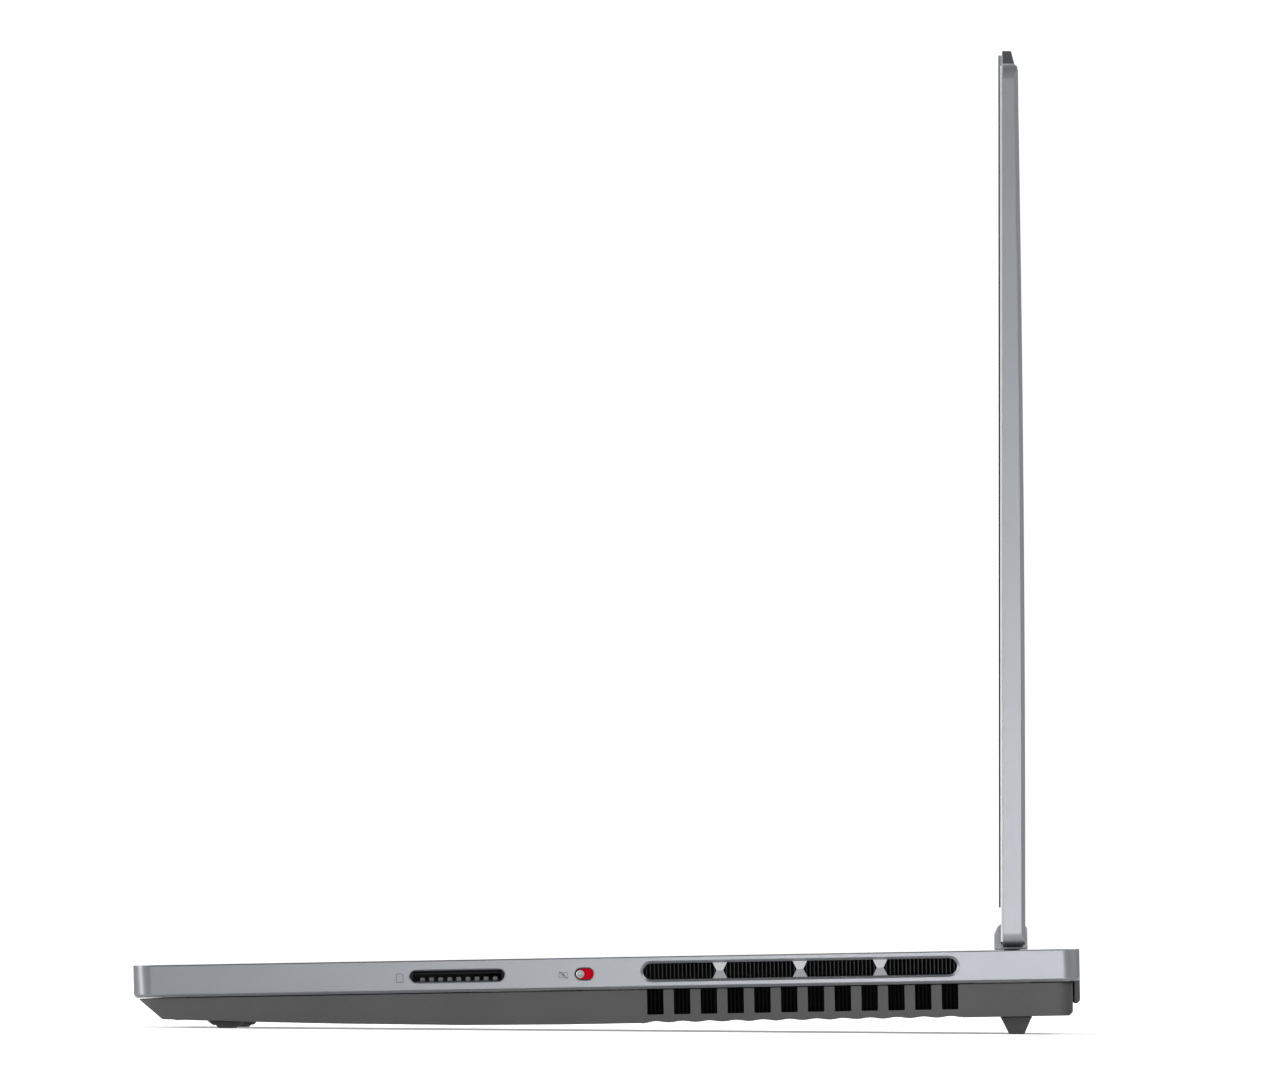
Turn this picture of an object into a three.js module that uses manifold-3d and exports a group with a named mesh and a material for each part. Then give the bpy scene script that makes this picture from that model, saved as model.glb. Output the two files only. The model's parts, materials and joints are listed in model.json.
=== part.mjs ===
// Laptop computer: a metal deck on a dark wedge-shaped underside, and a thin lid on two hinges.
// Millimetres, +X to the user's right, +Y to the rear, +Z up, the feet standing on z = 0.
// The base is drawn level, y from its front edge and z from the deck, and then raked.
// The lid is drawn upright about its hinge axis, y towards its back.

import * as THREE from "three";
import { mergeVertices } from "three/addons/utils/BufferGeometryUtils.js";
import Module from "manifold-3d";

const wasm = await Module();
wasm.setup();

// ---- Driving dimensions ----------------------------------------------------

const DEG = Math.PI / 180;
const GAP = 0.3;
const SEAM = 0.12;
const PAST = 1;
const BEYOND = 5;
const ARC_STEPS = 3;
const ROUND_SIDES = 24;

const HALF_WIDTH = 179.85;
const DEPTH = 260.3;
const RAKE = 1.45 * DEG;
const FRONT_RISE = 17.05;
const CORNER = 5;
const DECK_PLATE = 1.4;
const SIDE_WALL = 2.2;
const REAR_WALL = 1.6;
const WALL_DROP = 8.1;
const EDGE_CHAMFER = 0.8;
const LIP_BOTTOM = -15;
const LIP_HALF = 165;
const PORT_PANEL_TOP = -3.4;
const PORT_PANEL_HALF = 56;

const COVER_INSET = 1;
const COVER_HALF = HALF_WIDTH - COVER_INSET;
const COVER_WALL = 1.5;
const COVER_TOP = -9.1;
const COVER_REAR = 258.3;
const UNDERSIDE = -18.3;
const INNER_FLOOR = UNDERSIDE + COVER_WALL;

const HINGE_Y = 241.8;
const HINGE_RISE = 3.9;
const LID_LEAN = 0.48 * DEG;
const CAP_INNER = 100;
const CAP_OUTER = 150;
const PIN_RADIUS = 1.5;

const LID_TOP = 240;
const LID_BOTTOM = -3.16;
const LID_BACK = 3.73;
const LID_FRONT = -2.48;
const LID_CHAMFER = 1;
const BUMP_TOP = 246;

const KEY_PITCH = 18.2;
const KEY_SPACE = 2;
const KEY_TOP = -0.1;
const KEY_THICKNESS = 1.2;
const KEYS_FRONT = 104;
const KEYS_LEFT = -169.2;
const MAIN_UNITS = 15;
const FUNCTION_PITCH = 13;
const PAD_PITCH = 15.6;
const PAD_LEFT = KEYS_LEFT + MAIN_UNITS * KEY_PITCH + 3;
const KEYS_REAR = KEYS_FRONT + 5 * KEY_PITCH + FUNCTION_PITCH;

const VENT_Z = -4.15;
const VENT_START = 140.2;
const VENT_PITCH = 22.05;
const VENT_LENGTH = 20.25;
const VENT_COUNT = 4;
const VENT_HALF = 2.2;
const SLOT_COUNT = 12;
const SLOT_PITCH = 7.37;
const SLOT_START = 141.2;
const SLOT_WIDTH = 4.5;

const FAN_X = 118;
const FAN_Y = 186;
const FAN_RADIUS = 38;

// ---- Solids ----------------------------------------------------------------

function solidOf(geometry) {
  const bare = geometry.clone();
  bare.deleteAttribute("normal");
  bare.deleteAttribute("uv");
  const merged = mergeVertices(bare, 1e-3);
  const corners = merged.index.array;
  const triangles = [];
  for (let i = 0; i < corners.length; i += 3) {
    const [a, b, c] = corners.slice(i, i + 3);
    if (a !== b && b !== c && c !== a) triangles.push(a, b, c);
  }
  const vertProperties = new Float32Array(merged.attributes.position.array);
  const triVerts = new Uint32Array(triangles);
  return new wasm.Manifold(new wasm.Mesh({ numProp: 3, vertProperties, triVerts }));
}

function geometryOf(solid) {
  const mesh = solid.getMesh();
  const geometry = new THREE.BufferGeometry();
  geometry.setAttribute("position", new THREE.BufferAttribute(new Float32Array(mesh.vertProperties), 3));
  geometry.setIndex(new THREE.BufferAttribute(mesh.triVerts, 1));
  geometry.computeVertexNormals();
  return geometry;
}

function join(...solids) {
  return solids.reduce((whole, solid) => whole.add(solid));
}

function cut(solid, ...tools) {
  return tools.reduce((rest, tool) => rest.subtract(tool), solid);
}

// The same solid on the other side of the object.
function mirrored(solid) {
  const geometry = geometryOf(solid);
  geometry.applyMatrix4(new THREE.Matrix4().makeScale(-1, 1, 1));
  const corners = geometry.index.array;
  for (let i = 0; i < corners.length; i += 3) {
    [corners[i], corners[i + 1]] = [corners[i + 1], corners[i]];
  }
  return solidOf(geometry);
}

function block(x0, x1, y0, y1, z0, z1) {
  const geometry = new THREE.BoxGeometry(x1 - x0, y1 - y0, z1 - z0);
  geometry.translate((x0 + x1) / 2, (y0 + y1) / 2, (z0 + z1) / 2);
  return solidOf(geometry);
}

function polygon(points) {
  return new THREE.Shape(points.map(([a, b]) => new THREE.Vector2(a, b)));
}

function roundedRectangle(left, right, low, high, radius) {
  const shape = new THREE.Shape();
  const quarter = Math.PI / 2;
  shape.moveTo(left + radius, low);
  shape.absarc(right - radius, low + radius, radius, -quarter, 0);
  shape.absarc(right - radius, high - radius, radius, 0, quarter);
  shape.absarc(left + radius, high - radius, radius, quarter, Math.PI);
  shape.absarc(left + radius, low + radius, radius, Math.PI, 3 * quarter);
  return shape;
}

function extrude(shape, depth, bevel = 0, bevelOffset = 0) {
  return new THREE.ExtrudeGeometry(shape, {
    depth,
    curveSegments: ARC_STEPS,
    bevelEnabled: bevel > 0,
    bevelThickness: bevel,
    bevelSize: bevel,
    bevelOffset,
    bevelSegments: 1,
  });
}

// A plan outline in x and y, standing from z0 to z1.
function slab(shape, z0, z1) {
  return solidOf(extrude(shape, z1 - z0).translate(0, 0, z0));
}

const SIDEWAYS = new THREE.Matrix4().makeBasis(
  new THREE.Vector3(0, 1, 0),
  new THREE.Vector3(0, 0, 1),
  new THREE.Vector3(1, 0, 0),
);

// A side outline in y and z, running from x0 to x1.
function bar(shape, x0, x1) {
  return solidOf(extrude(shape, x1 - x0).applyMatrix4(SIDEWAYS).translate(x0, 0, 0));
}

const UPRIGHT = new THREE.Matrix4().makeBasis(
  new THREE.Vector3(1, 0, 0),
  new THREE.Vector3(0, 0, 1),
  new THREE.Vector3(0, -1, 0),
);

// A front outline in x and z, running from y0 to y1.
function panel(shape, y0, y1) {
  return solidOf(extrude(shape, y1 - y0).applyMatrix4(UPRIGHT).translate(0, y1, 0));
}

// A bar whose mouth widens by its chamfer at the wall's face x.
function chamferedMouth(shape, x, chamfer) {
  return solidOf(extrude(shape, BEYOND, chamfer).applyMatrix4(SIDEWAYS).translate(x, 0, 0));
}

function rod(radius, x0, x1, y, z, sides = ROUND_SIDES) {
  const geometry = new THREE.CylinderGeometry(radius, radius, x1 - x0, sides);
  geometry.rotateZ(-Math.PI / 2).translate((x0 + x1) / 2, y, z);
  return solidOf(geometry);
}

function post(radius, x, y, z0, z1, sides = ROUND_SIDES) {
  const geometry = new THREE.CylinderGeometry(radius, radius, z1 - z0, sides);
  geometry.rotateX(Math.PI / 2).translate(x, y, (z0 + z1) / 2);
  return solidOf(geometry);
}

function stadium(y0, y1, z, half) {
  return roundedRectangle(y0, y1, z - half, z + half, half);
}

// ---- Finishes --------------------------------------------------------------

function finish(color, roughness, metalness) {
  return new THREE.MeshStandardMaterial({ color, roughness, metalness });
}

const aluminium = () => finish("#a4a7ab", 0.45, 0.9);
const darkPlastic = () => finish("#525355", 0.6, 0);
const blackPlastic = () => finish("#1c1d1f", 0.5, 0);
const rubber = () => finish("#3a3b3d", 0.9, 0);
const steel = () => finish("#9a9ca0", 0.35, 1);
const copper = () => finish("#b07a55", 0.35, 1);
const board = () => finish("#20302a", 0.6, 0);
const screenGlass = () => finish("#0b0c0f", 0.25, 0);

// ---- Top case --------------------------------------------------------------

function ventOpening(start, index) {
  const y0 = start + index * VENT_PITCH;
  const y1 = y0 + VENT_LENGTH;
  const slant = 1.1;
  const quarter = Math.PI / 2;
  const shape = new THREE.Shape();
  if (index === 0) {
    shape.absarc(y0 + VENT_HALF, VENT_Z, VENT_HALF, quarter, 3 * quarter);
  } else {
    shape.moveTo(y0 + slant, VENT_Z + VENT_HALF);
    shape.lineTo(y0, VENT_Z);
    shape.lineTo(y0 + slant, VENT_Z - VENT_HALF);
  }
  if (index === VENT_COUNT - 1) {
    shape.absarc(y1 - VENT_HALF, VENT_Z, VENT_HALF, -quarter, quarter);
  } else {
    shape.lineTo(y1 - slant, VENT_Z - VENT_HALF);
    shape.lineTo(y1, VENT_Z);
    shape.lineTo(y1 - slant, VENT_Z + VENT_HALF);
  }
  return shape;
}

function sideVents() {
  const end = VENT_START + (VENT_COUNT - 1) * VENT_PITCH + VENT_LENGTH;
  const ringChamfer = 0.7;
  const mouth = stadium(VENT_START, end, VENT_Z, VENT_HALF);
  let openings = chamferedMouth(mouth, HALF_WIDTH, ringChamfer);
  for (let i = 0; i < VENT_COUNT; i += 1) {
    const outline = ventOpening(VENT_START, i);
    openings = openings.add(bar(outline, HALF_WIDTH - SIDE_WALL - PAST, HALF_WIDTH + PAST));
  }
  return openings;
}

// A round-ended opening through the right wall, with a fine chamfer at its mouth.
function sideOpening(y0, y1, z, half, chamfer) {
  const outline = stadium(y0, y1, z, half);
  const through = bar(outline, HALF_WIDTH - SIDE_WALL - PAST, HALF_WIDTH + PAST);
  return through.add(chamferedMouth(outline, HALF_WIDTH, chamfer));
}

function rearOpening({ x, z, halfWidth, halfHeight }) {
  const radius = 0.5;
  const outline = roundedRectangle(
    x - halfWidth,
    x + halfWidth,
    z - halfHeight,
    z + halfHeight,
    radius,
  );
  return panel(outline, DEPTH - REAR_WALL - PAST, DEPTH + PAST);
}

const REAR_SLOT = { first: 74, count: 16, pitch: 5.4, width: 3.6, z: -8.5, half: 4.5 };

function rearVents() {
  const { first, count, pitch, width, z, half } = REAR_SLOT;
  const slots = [];
  for (let i = 0; i < count; i += 1) {
    const x = first + i * pitch;
    slots.push(block(x, x + width, DEPTH - REAR_WALL - PAST, DEPTH + PAST, z - half, z + half));
  }
  return join(...slots);
}

const TOUCHPAD = { half: 60, front: 15, rear: 91, corner: 4, clearance: 0.3 };
const POWER_BUTTON = { x: 0, y: 222, halfLength: 11, halfWidth: 3.5 };
const CARD_SLOT = { y0: 76.1, y1: 102.1, z: -4.4, half: 1.55 };
const SWITCH_SLOT = { y0: 121.5, y1: 126.6, z: -4.5, half: 1.6 };
const CARD_CHAMFER = 0.35;
const SWITCH_CHAMFER = 0.25;
const LEFT_PORTS = [
  { name: "usb_c_port_front", y: 77, z: -4.6, halfWidth: 4.5, halfHeight: 1.35, tongue: 0.35 },
  { name: "usb_c_port_rear", y: 89, z: -4.6, halfWidth: 4.5, halfHeight: 1.35, tongue: 0.35 },
  { name: "audio_jack", y: 100, z: -4.6, halfWidth: 1.8, halfHeight: 1.8, tongue: 0 },
];
const REAR_PORTS = [
  { name: "ethernet_port", x: -46, z: -8.6, halfWidth: 5.9, halfHeight: 4.1, tongue: 0 },
  { name: "usb_a_port_left", x: -25, z: -8.6, halfWidth: 6.3, halfHeight: 2.6, tongue: 0.9 },
  { name: "hdmi_port", x: -2, z: -8.6, halfWidth: 7, halfHeight: 2.3, tongue: 0.6 },
  { name: "usb_a_port_right", x: 21, z: -8.6, halfWidth: 6.3, halfHeight: 2.6, tongue: 0.9 },
  { name: "power_inlet", x: 46, z: -8.6, halfWidth: 5.8, halfHeight: 2.5, tongue: 0 },
];

function deckOpenings() {
  const through = [-DECK_PLATE - PAST, PAST];
  const rim = 0.7;
  const divider = PAD_LEFT - rim;
  const mainRight = KEYS_LEFT + MAIN_UNITS * KEY_PITCH;
  const padRight = PAD_LEFT + 4 * PAD_PITCH;
  const touch = TOUCHPAD.half + TOUCHPAD.clearance;
  const touchpadHole = roundedRectangle(
    -touch,
    touch,
    TOUCHPAD.front - TOUCHPAD.clearance,
    TOUCHPAD.rear + TOUCHPAD.clearance,
    TOUCHPAD.corner,
  );
  const reach = POWER_BUTTON.halfLength + GAP;
  const powerHole = roundedRectangle(
    POWER_BUTTON.x - reach,
    POWER_BUTTON.x + reach,
    POWER_BUTTON.y - POWER_BUTTON.halfWidth - GAP,
    POWER_BUTTON.y + POWER_BUTTON.halfWidth + GAP,
    POWER_BUTTON.halfWidth,
  );
  const slot = { x0: CAP_INNER + 4, x1: CAP_INNER + 24, half: 3.2 };
  const hingeSlot = block(slot.x0, slot.x1, HINGE_Y - slot.half, HINGE_Y + slot.half, ...through);
  return [
    block(KEYS_LEFT - rim, mainRight + rim, KEYS_FRONT - rim, KEYS_REAR + rim, ...through),
    block(divider, padRight + rim, KEYS_FRONT - rim, KEYS_REAR + rim, ...through),
    slab(touchpadHole, ...through),
    slab(powerHole, ...through),
    hingeSlot,
    mirrored(hingeSlot),
  ];
}

// Low bars of the deck between the key rows of the main block.
function rowBars() {
  const bars = [];
  const half = 0.7;
  const mainRight = KEYS_LEFT + MAIN_UNITS * KEY_PITCH;
  for (let row = 1; row <= 5; row += 1) {
    const y = KEYS_FRONT + row * KEY_PITCH;
    const [x0, x1] = [KEYS_LEFT - PAST, mainRight + PAST];
    bars.push(block(x0, x1, y - half, y + half, -DECK_PLATE, -DECK_PLATE / 2));
  }
  return join(...bars);
}

function leftPortOpening(port) {
  const outline = roundedRectangle(
    port.y - port.halfWidth,
    port.y + port.halfWidth,
    port.z - port.halfHeight,
    port.z + port.halfHeight,
    port.halfHeight,
  );
  return bar(outline, -HALF_WIDTH - PAST, -HALF_WIDTH + SIDE_WALL + PAST);
}

// The round channel that the lid's lower edge turns in.
function hingeTrough() {
  const radius = 4.6;
  const rail = 1.2;
  const reach = HALF_WIDTH - rail;
  return rod(radius, -reach, reach, HINGE_Y, HINGE_RISE, 2 * ROUND_SIDES);
}

// The rear wall between the corners, which reaches lower than the side walls.
function rearLip(half, top) {
  const outline = polygon([
    [DEPTH - REAR_WALL, top],
    [DEPTH - REAR_WALL, LIP_BOTTOM],
    [DEPTH - EDGE_CHAMFER, LIP_BOTTOM],
    [DEPTH, LIP_BOTTOM + EDGE_CHAMFER],
    [DEPTH, top],
  ]);
  return bar(outline, -half, half);
}

function makeTopCase() {
  const plan = roundedRectangle(-HALF_WIDTH, HALF_WIDTH, 0, DEPTH, CORNER);
  const height = WALL_DROP + BEYOND;
  const chamfered = extrude(plan, height, EDGE_CHAMFER, -EDGE_CHAMFER).translate(0, 0, -WALL_DROP);
  const edge = HALF_WIDTH + PAST;
  const above = block(-edge, edge, -PAST, DEPTH + PAST, 0, 2 * BEYOND);
  const inside = HALF_WIDTH - SIDE_WALL;
  const rear = DEPTH - REAR_WALL;
  const roomPlan = roundedRectangle(-inside, inside, SIDE_WALL, rear, CORNER - SIDE_WALL);
  const room = slab(roomPlan, -WALL_DROP - 2 * PAST, -DECK_PLATE);
  const lip = rearLip(LIP_HALF, -DECK_PLATE);
  const shell = cut(solidOf(chamfered), above, room).add(lip);

  const vents = sideVents();
  const grille = rearVents();
  const panelHalf = PORT_PANEL_HALF + GAP;
  const panelTop = PORT_PANEL_TOP + GAP;
  const panelRoom = block(-panelHalf, panelHalf, rear - PAST, DEPTH + PAST, LIP_BOTTOM - PAST, panelTop);
  const { y0, y1, z, half } = CARD_SLOT;
  const opened = cut(
    shell,
    ...deckOpenings(),
    hingeTrough(),
    panelRoom,
    vents,
    mirrored(vents),
    grille,
    mirrored(grille),
    sideOpening(y0, y1, z, half, CARD_CHAMFER),
    sideOpening(SWITCH_SLOT.y0, SWITCH_SLOT.y1, SWITCH_SLOT.z, SWITCH_SLOT.half, SWITCH_CHAMFER),
    ...LEFT_PORTS.map(leftPortOpening),
  );
  return opened.add(rowBars());
}

// A panel with the five rear sockets' openings, set into the rear wall.
function makePortPanel() {
  const openings = REAR_PORTS.map(rearOpening);
  return cut(rearLip(PORT_PANEL_HALF, PORT_PANEL_TOP), ...openings);
}

// ---- Bottom cover and feet ---------------------------------------------------

// The underside falls away steeply at the front, then gently, then runs level with the deck.
const UNDERSIDE_LINE = [
  [7.8, -14.9],
  [18, -15.4],
  [36, -16.2],
  [57, -17],
  [91, -18],
  [118, UNDERSIDE],
];

function scallops() {
  const first = SLOT_START + SLOT_WIDTH / 2;
  const stepsPerWave = 6;
  const height = 0.4;
  const lift = 0.04;
  const points = [];
  for (let i = 0; i <= SLOT_COUNT * stepsPerWave; i += 1) {
    const turns = i / stepsPerWave;
    const rise = (height / 2) * (1 - Math.cos(2 * Math.PI * turns));
    points.push([first + (turns - 0.5) * SLOT_PITCH, UNDERSIDE + lift + rise]);
  }
  const last = points[points.length - 1];
  const below = UNDERSIDE - PAST;
  const wave = polygon([...points, [last[0], below], [points[0][0], below]]);
  return bar(wave, -COVER_HALF - PAST, COVER_HALF + PAST);
}

function coverSideSlots() {
  const [low, high] = [-16, COVER_TOP + PAST];
  const [x0, x1] = [COVER_HALF - COVER_WALL - PAST, COVER_HALF + PAST];
  const slots = [];
  for (let i = 0; i < SLOT_COUNT; i += 1) {
    const y = SLOT_START + i * SLOT_PITCH;
    slots.push(block(x0, x1, y, y + SLOT_WIDTH, low, high));
  }
  return join(...slots);
}

const INTAKE = { x0: 86, x1: 150, y0: 156, pitch: 6, width: 2.6, count: 11 };
const SPEAKER_GRILLE = { x0: 132, x1: 164, y0: 36, pitch: 4, width: 1.8, count: 5 };

function undersideSlots({ x0, x1, y0, pitch, width, count }) {
  const high = -13.2;
  const slots = [];
  for (let i = 0; i < count; i += 1) {
    const y = y0 + i * pitch;
    slots.push(block(x0, x1, y, y + width, UNDERSIDE - PAST, high));
  }
  return join(...slots);
}

function makeBottomCover() {
  const edge = 1;
  const front = 1.5;
  const innerFront = 4;
  const outerLine = polygon([
    [front, COVER_TOP],
    [front, COVER_TOP - GAP],
    ...UNDERSIDE_LINE,
    [COVER_REAR - edge, UNDERSIDE],
    [COVER_REAR, UNDERSIDE + edge],
    [COVER_REAR, COVER_TOP],
  ]);
  const innerLine = polygon([
    [innerFront, COVER_TOP + PAST],
    [innerFront, COVER_TOP],
    ...UNDERSIDE_LINE.map(([y, z]) => [y + COVER_WALL / 2, z + COVER_WALL]),
    [COVER_REAR - COVER_WALL, INNER_FLOOR],
    [COVER_REAR - COVER_WALL, COVER_TOP + PAST],
  ]);
  const plan = roundedRectangle(-COVER_HALF, COVER_HALF, COVER_INSET, COVER_REAR, CORNER);
  const inside = COVER_HALF - COVER_WALL;
  const innerPlan = roundedRectangle(
    -inside,
    inside,
    COVER_INSET + COVER_WALL,
    COVER_REAR - COVER_WALL,
    CORNER - COVER_WALL,
  );
  const outer = bar(outerLine, -COVER_HALF, COVER_HALF);
  const outside = outer.intersect(slab(plan, UNDERSIDE - PAST, COVER_TOP));
  const inner = bar(innerLine, -inside, inside).intersect(slab(innerPlan, UNDERSIDE, COVER_TOP + PAST));
  const grilles = join(undersideSlots(INTAKE), undersideSlots(SPEAKER_GRILLE));
  const right = join(coverSideSlots(), grilles);
  return cut(outside, inner, behindLip(), scallops(), right, mirrored(right));
}

// The cover's rear wall ends below the sockets and the top case's rear wall.
function behindLip() {
  const half = LIP_HALF + PAST;
  const depth = 3;
  return block(-half, half, COVER_REAR - depth, COVER_REAR + PAST, LIP_BOTTOM - GAP, 0);
}

// Height of the floor in the base's own frame, at a distance y from its front edge.
function floorAt(y) {
  return -(FRONT_RISE + y * Math.sin(RAKE)) / Math.cos(RAKE);
}

const FRONT_FOOT = {
  x0: 88,
  x1: 148,
  flangeTop: [19.65, 29.05],
  flangeBottom: [21.15, 28.05],
  padTop: [21.95, 27.15],
  padBottom: [22.65, 26.75],
  inset: 2,
};

// A flange with sloping sides glued under the cover, and a narrower pad below it.
function makeFrontFoot(x0, x1) {
  const { flangeTop, flangeBottom, padTop, padBottom, inset } = FRONT_FOOT;
  const [frontTop, rearTop, thickness] = [-15.58, -15.99, 1.2];
  const flange = polygon([
    [flangeTop[0], frontTop],
    [flangeBottom[0], frontTop - thickness],
    [flangeBottom[1], rearTop - thickness],
    [flangeTop[1], rearTop],
  ]);
  const middle = rearTop - thickness / 2;
  const pad = polygon([
    [padTop[0], middle],
    [padTop[0], frontTop - thickness],
    [padBottom[0], floorAt(padBottom[0])],
    [padBottom[1], floorAt(padBottom[1])],
    [padTop[1], rearTop - thickness],
    [padTop[1], middle],
  ]);
  return join(bar(flange, x0, x1), bar(pad, x0 + inset, x1 - inset));
}

const REAR_FOOT = { half: 150, top: [238.2, 247.1], bottom: [240.6, 244.8] };

function makeRearFoot() {
  const top = UNDERSIDE - GAP / 2;
  const step = [0.4, 0.6];
  const [topFront, topRear] = REAR_FOOT.top;
  const [bottomFront, bottomRear] = REAR_FOOT.bottom;
  const outline = polygon([
    [topFront, top],
    [topFront + step[0], top - step[1]],
    [bottomFront, floorAt(bottomFront)],
    [bottomRear, floorAt(bottomRear)],
    [topRear - step[0], top - step[1]],
    [topRear, top],
  ]);
  return bar(outline, -REAR_FOOT.half, REAR_FOOT.half);
}

// ---- Keyboard, touchpad and buttons ---------------------------------------------

function keyCap(x0, x1, y0, y1) {
  const inset = KEY_SPACE / 2;
  return block(x0 + inset, x1 - inset, y0 + inset, y1 - inset, KEY_TOP - KEY_THICKNESS, KEY_TOP);
}

// Thin strip under the caps that ties a row together.
function web(x0, x1, y0, y1) {
  const bottom = KEY_TOP - KEY_THICKNESS;
  const thickness = 0.4;
  return block(x0, x1, y0, y1, bottom, bottom + thickness);
}

const WEB_HALF = 1.5;

function rowSpan(row) {
  const isFunctionRow = row === 5;
  const y0 = KEYS_FRONT + row * KEY_PITCH;
  return [y0, y0 + (isFunctionRow ? FUNCTION_PITCH : KEY_PITCH)];
}

function keyRow(row, startUnit, widths) {
  const [y0, y1] = rowSpan(row);
  const middle = (y0 + y1) / 2;
  const solids = [];
  let x = KEYS_LEFT + startUnit * KEY_PITCH;
  const first = x;
  for (const units of widths) {
    solids.push(keyCap(x, x + units * KEY_PITCH, y0, y1));
    x += units * KEY_PITCH;
  }
  if (widths.length > 1) {
    solids.push(web(first + KEY_SPACE, x - KEY_SPACE, middle - WEB_HALF, middle + WEB_HALF));
  }
  return join(...solids);
}

const ones = (count) => new Array(count).fill(1);

const KEY_ROWS = [
  { name: "keys_function_row", row: 5, start: 0, widths: ones(15) },
  { name: "keys_number_row", row: 4, start: 0, widths: [...ones(13), 2] },
  { name: "keys_upper_row", row: 3, start: 0, widths: [1.5, ...ones(12), 1.5] },
  { name: "keys_home_row", row: 2, start: 0, widths: [1.75, ...ones(11), 2.25] },
  { name: "keys_lower_row", row: 1, start: 0, widths: [2.25, ...ones(10), 1.75] },
  { name: "key_arrow_up", row: 1, start: 14, widths: [1] },
  { name: "keys_bottom_row_left", row: 0, start: 0, widths: [1.25, 1, 1, 1.25] },
  { name: "key_space", row: 0, start: 4.5, widths: [5.5] },
  { name: "keys_bottom_row_right", row: 0, start: 10, widths: [1, 1] },
  { name: "key_arrow_left", row: 0, start: 12, widths: [1] },
  { name: "key_arrow_down", row: 0, start: 13, widths: [1] },
  { name: "key_arrow_right", row: 0, start: 14, widths: [1] },
];

// Column, columns wide, row and rows tall of every key on the number pad.
function padLayout() {
  const keys = [];
  for (let column = 0; column < 4; column += 1) keys.push([column, 1, 5, 1], [column, 1, 4, 1]);
  for (let column = 0; column < 3; column += 1) {
    for (let row = 1; row <= 3; row += 1) keys.push([column, 1, row, 1]);
  }
  keys.push([3, 1, 2, 2], [3, 1, 0, 2], [0, 2, 0, 1], [2, 1, 0, 1]);
  return keys;
}

function makeNumberPad() {
  const solids = padLayout().map(([column, wide, row, tall]) => {
    const x0 = PAD_LEFT + column * PAD_PITCH;
    return keyCap(x0, x0 + wide * PAD_PITCH, rowSpan(row)[0], rowSpan(row + tall - 1)[1]);
  });
  const [left, right] = [PAD_LEFT + KEY_SPACE, PAD_LEFT + 4 * PAD_PITCH - KEY_SPACE];
  for (let row = 0; row <= 5; row += 1) {
    const middle = (rowSpan(row)[0] + rowSpan(row)[1]) / 2;
    solids.push(web(left, right, middle - WEB_HALF, middle + WEB_HALF));
  }
  const spine = PAD_LEFT + 1.5 * PAD_PITCH;
  solids.push(web(spine - WEB_HALF, spine + WEB_HALF, KEYS_FRONT + KEY_SPACE, KEYS_REAR - KEY_SPACE));
  return join(...solids);
}

function makeKeyboardPlate() {
  const top = -3.1;
  const thickness = 1;
  const edge = 1;
  const right = -KEYS_LEFT + edge;
  return block(-right, right, KEYS_FRONT - edge / 2, KEYS_REAR + edge, top - thickness, top);
}

function makeTouchpad() {
  const { half, front, rear, corner } = TOUCHPAD;
  const [bottom, top] = [-1.2, -0.15];
  return slab(roundedRectangle(-half, half, front, rear, corner), bottom, top);
}

function makePowerButton() {
  const { x, y, halfLength, halfWidth } = POWER_BUTTON;
  const [bottom, top] = [-1.6, -0.05];
  const outline = roundedRectangle(
    x - halfLength,
    x + halfLength,
    y - halfWidth,
    y + halfWidth,
    halfWidth - SEAM,
  );
  return slab(outline, bottom, top);
}

// ---- Boards, battery and sound ---------------------------------------------------

const BOARD = { top: -9.5, thickness: 1.2 };
const BOARD_AREAS = [
  [-66, 66, 100, 236],
  [-168, 168, 100, 136],
];
const CHIPS = {
  processor: { x0: -32, x1: -6, y0: 166, y1: 192, height: 0.6 },
  graphics: { x0: 8, x1: 34, y0: 164, y1: 194, height: 0.6 },
  inductor: { x0: -56, x1: -44, y0: 110, y1: 122, height: 1.4 },
};

function makeMainboard() {
  const { top, thickness } = BOARD;
  const areas = BOARD_AREAS.map((area) => block(...area, top - thickness, top));
  const chips = Object.values(CHIPS).map(({ x0, x1, y0, y1, height }) => (
    block(x0, x1, y0, y1, top - SEAM, top + height)
  ));
  return join(...areas, ...chips);
}

const BATTERY = { half: 114, y0: 14, y1: 92, bottom: -12.2, top: -6, cells: 6 };

// Six cells side by side, with a groove between each two.
function makeBattery() {
  const { half, y0, y1, bottom, top, cells } = BATTERY;
  const pitch = (2 * half) / cells;
  const groove = { half: 0.6, depth: 1 };
  const grooves = [];
  for (let i = 1; i < cells; i += 1) {
    const x = -half + i * pitch;
    const sides = [x - groove.half, x + groove.half, y0 - PAST, y1 + PAST];
    grooves.push(block(...sides, top - groove.depth, top + PAST));
  }
  return cut(block(-half, half, y0, y1, bottom, top), ...grooves);
}

// A small circuit card hanging under the mainboard, with one chip on its lower face.
function makeCard(x0, x1, y0, y1) {
  const top = -11.2;
  const [thickness, chip, inset] = [1, 0.9, 4];
  const card = block(x0, x1, y0, y1, top - thickness, top);
  const sides = [x0 + inset, x1 - inset, y0 + inset, y1 - inset];
  return card.add(block(...sides, top - thickness - chip, top - thickness + SEAM));
}

const SPEAKER = { x0: 124, x1: 172, y0: 14, y1: 70, bottom: -12, top: -5.2, border: 8, corner: 12 };

// A flat sound box with a shallow recess for the cone in its lower face.
function makeSpeaker() {
  const { x0, x1, y0, y1, bottom, top, border, corner } = SPEAKER;
  const body = block(x0, x1, y0, y1, bottom, top);
  const outline = roundedRectangle(x0 + border, x1 - border, y0 + border, y1 - border, corner);
  return cut(body, slab(outline, bottom - PAST, bottom + 1));
}

// ---- Cooling ---------------------------------------------------------------------

const HOUSING = { x0: 71, x1: 169, y0: 139, y1: 231, bottom: -16.2, top: -8.8, wall: 0.8 };

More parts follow.
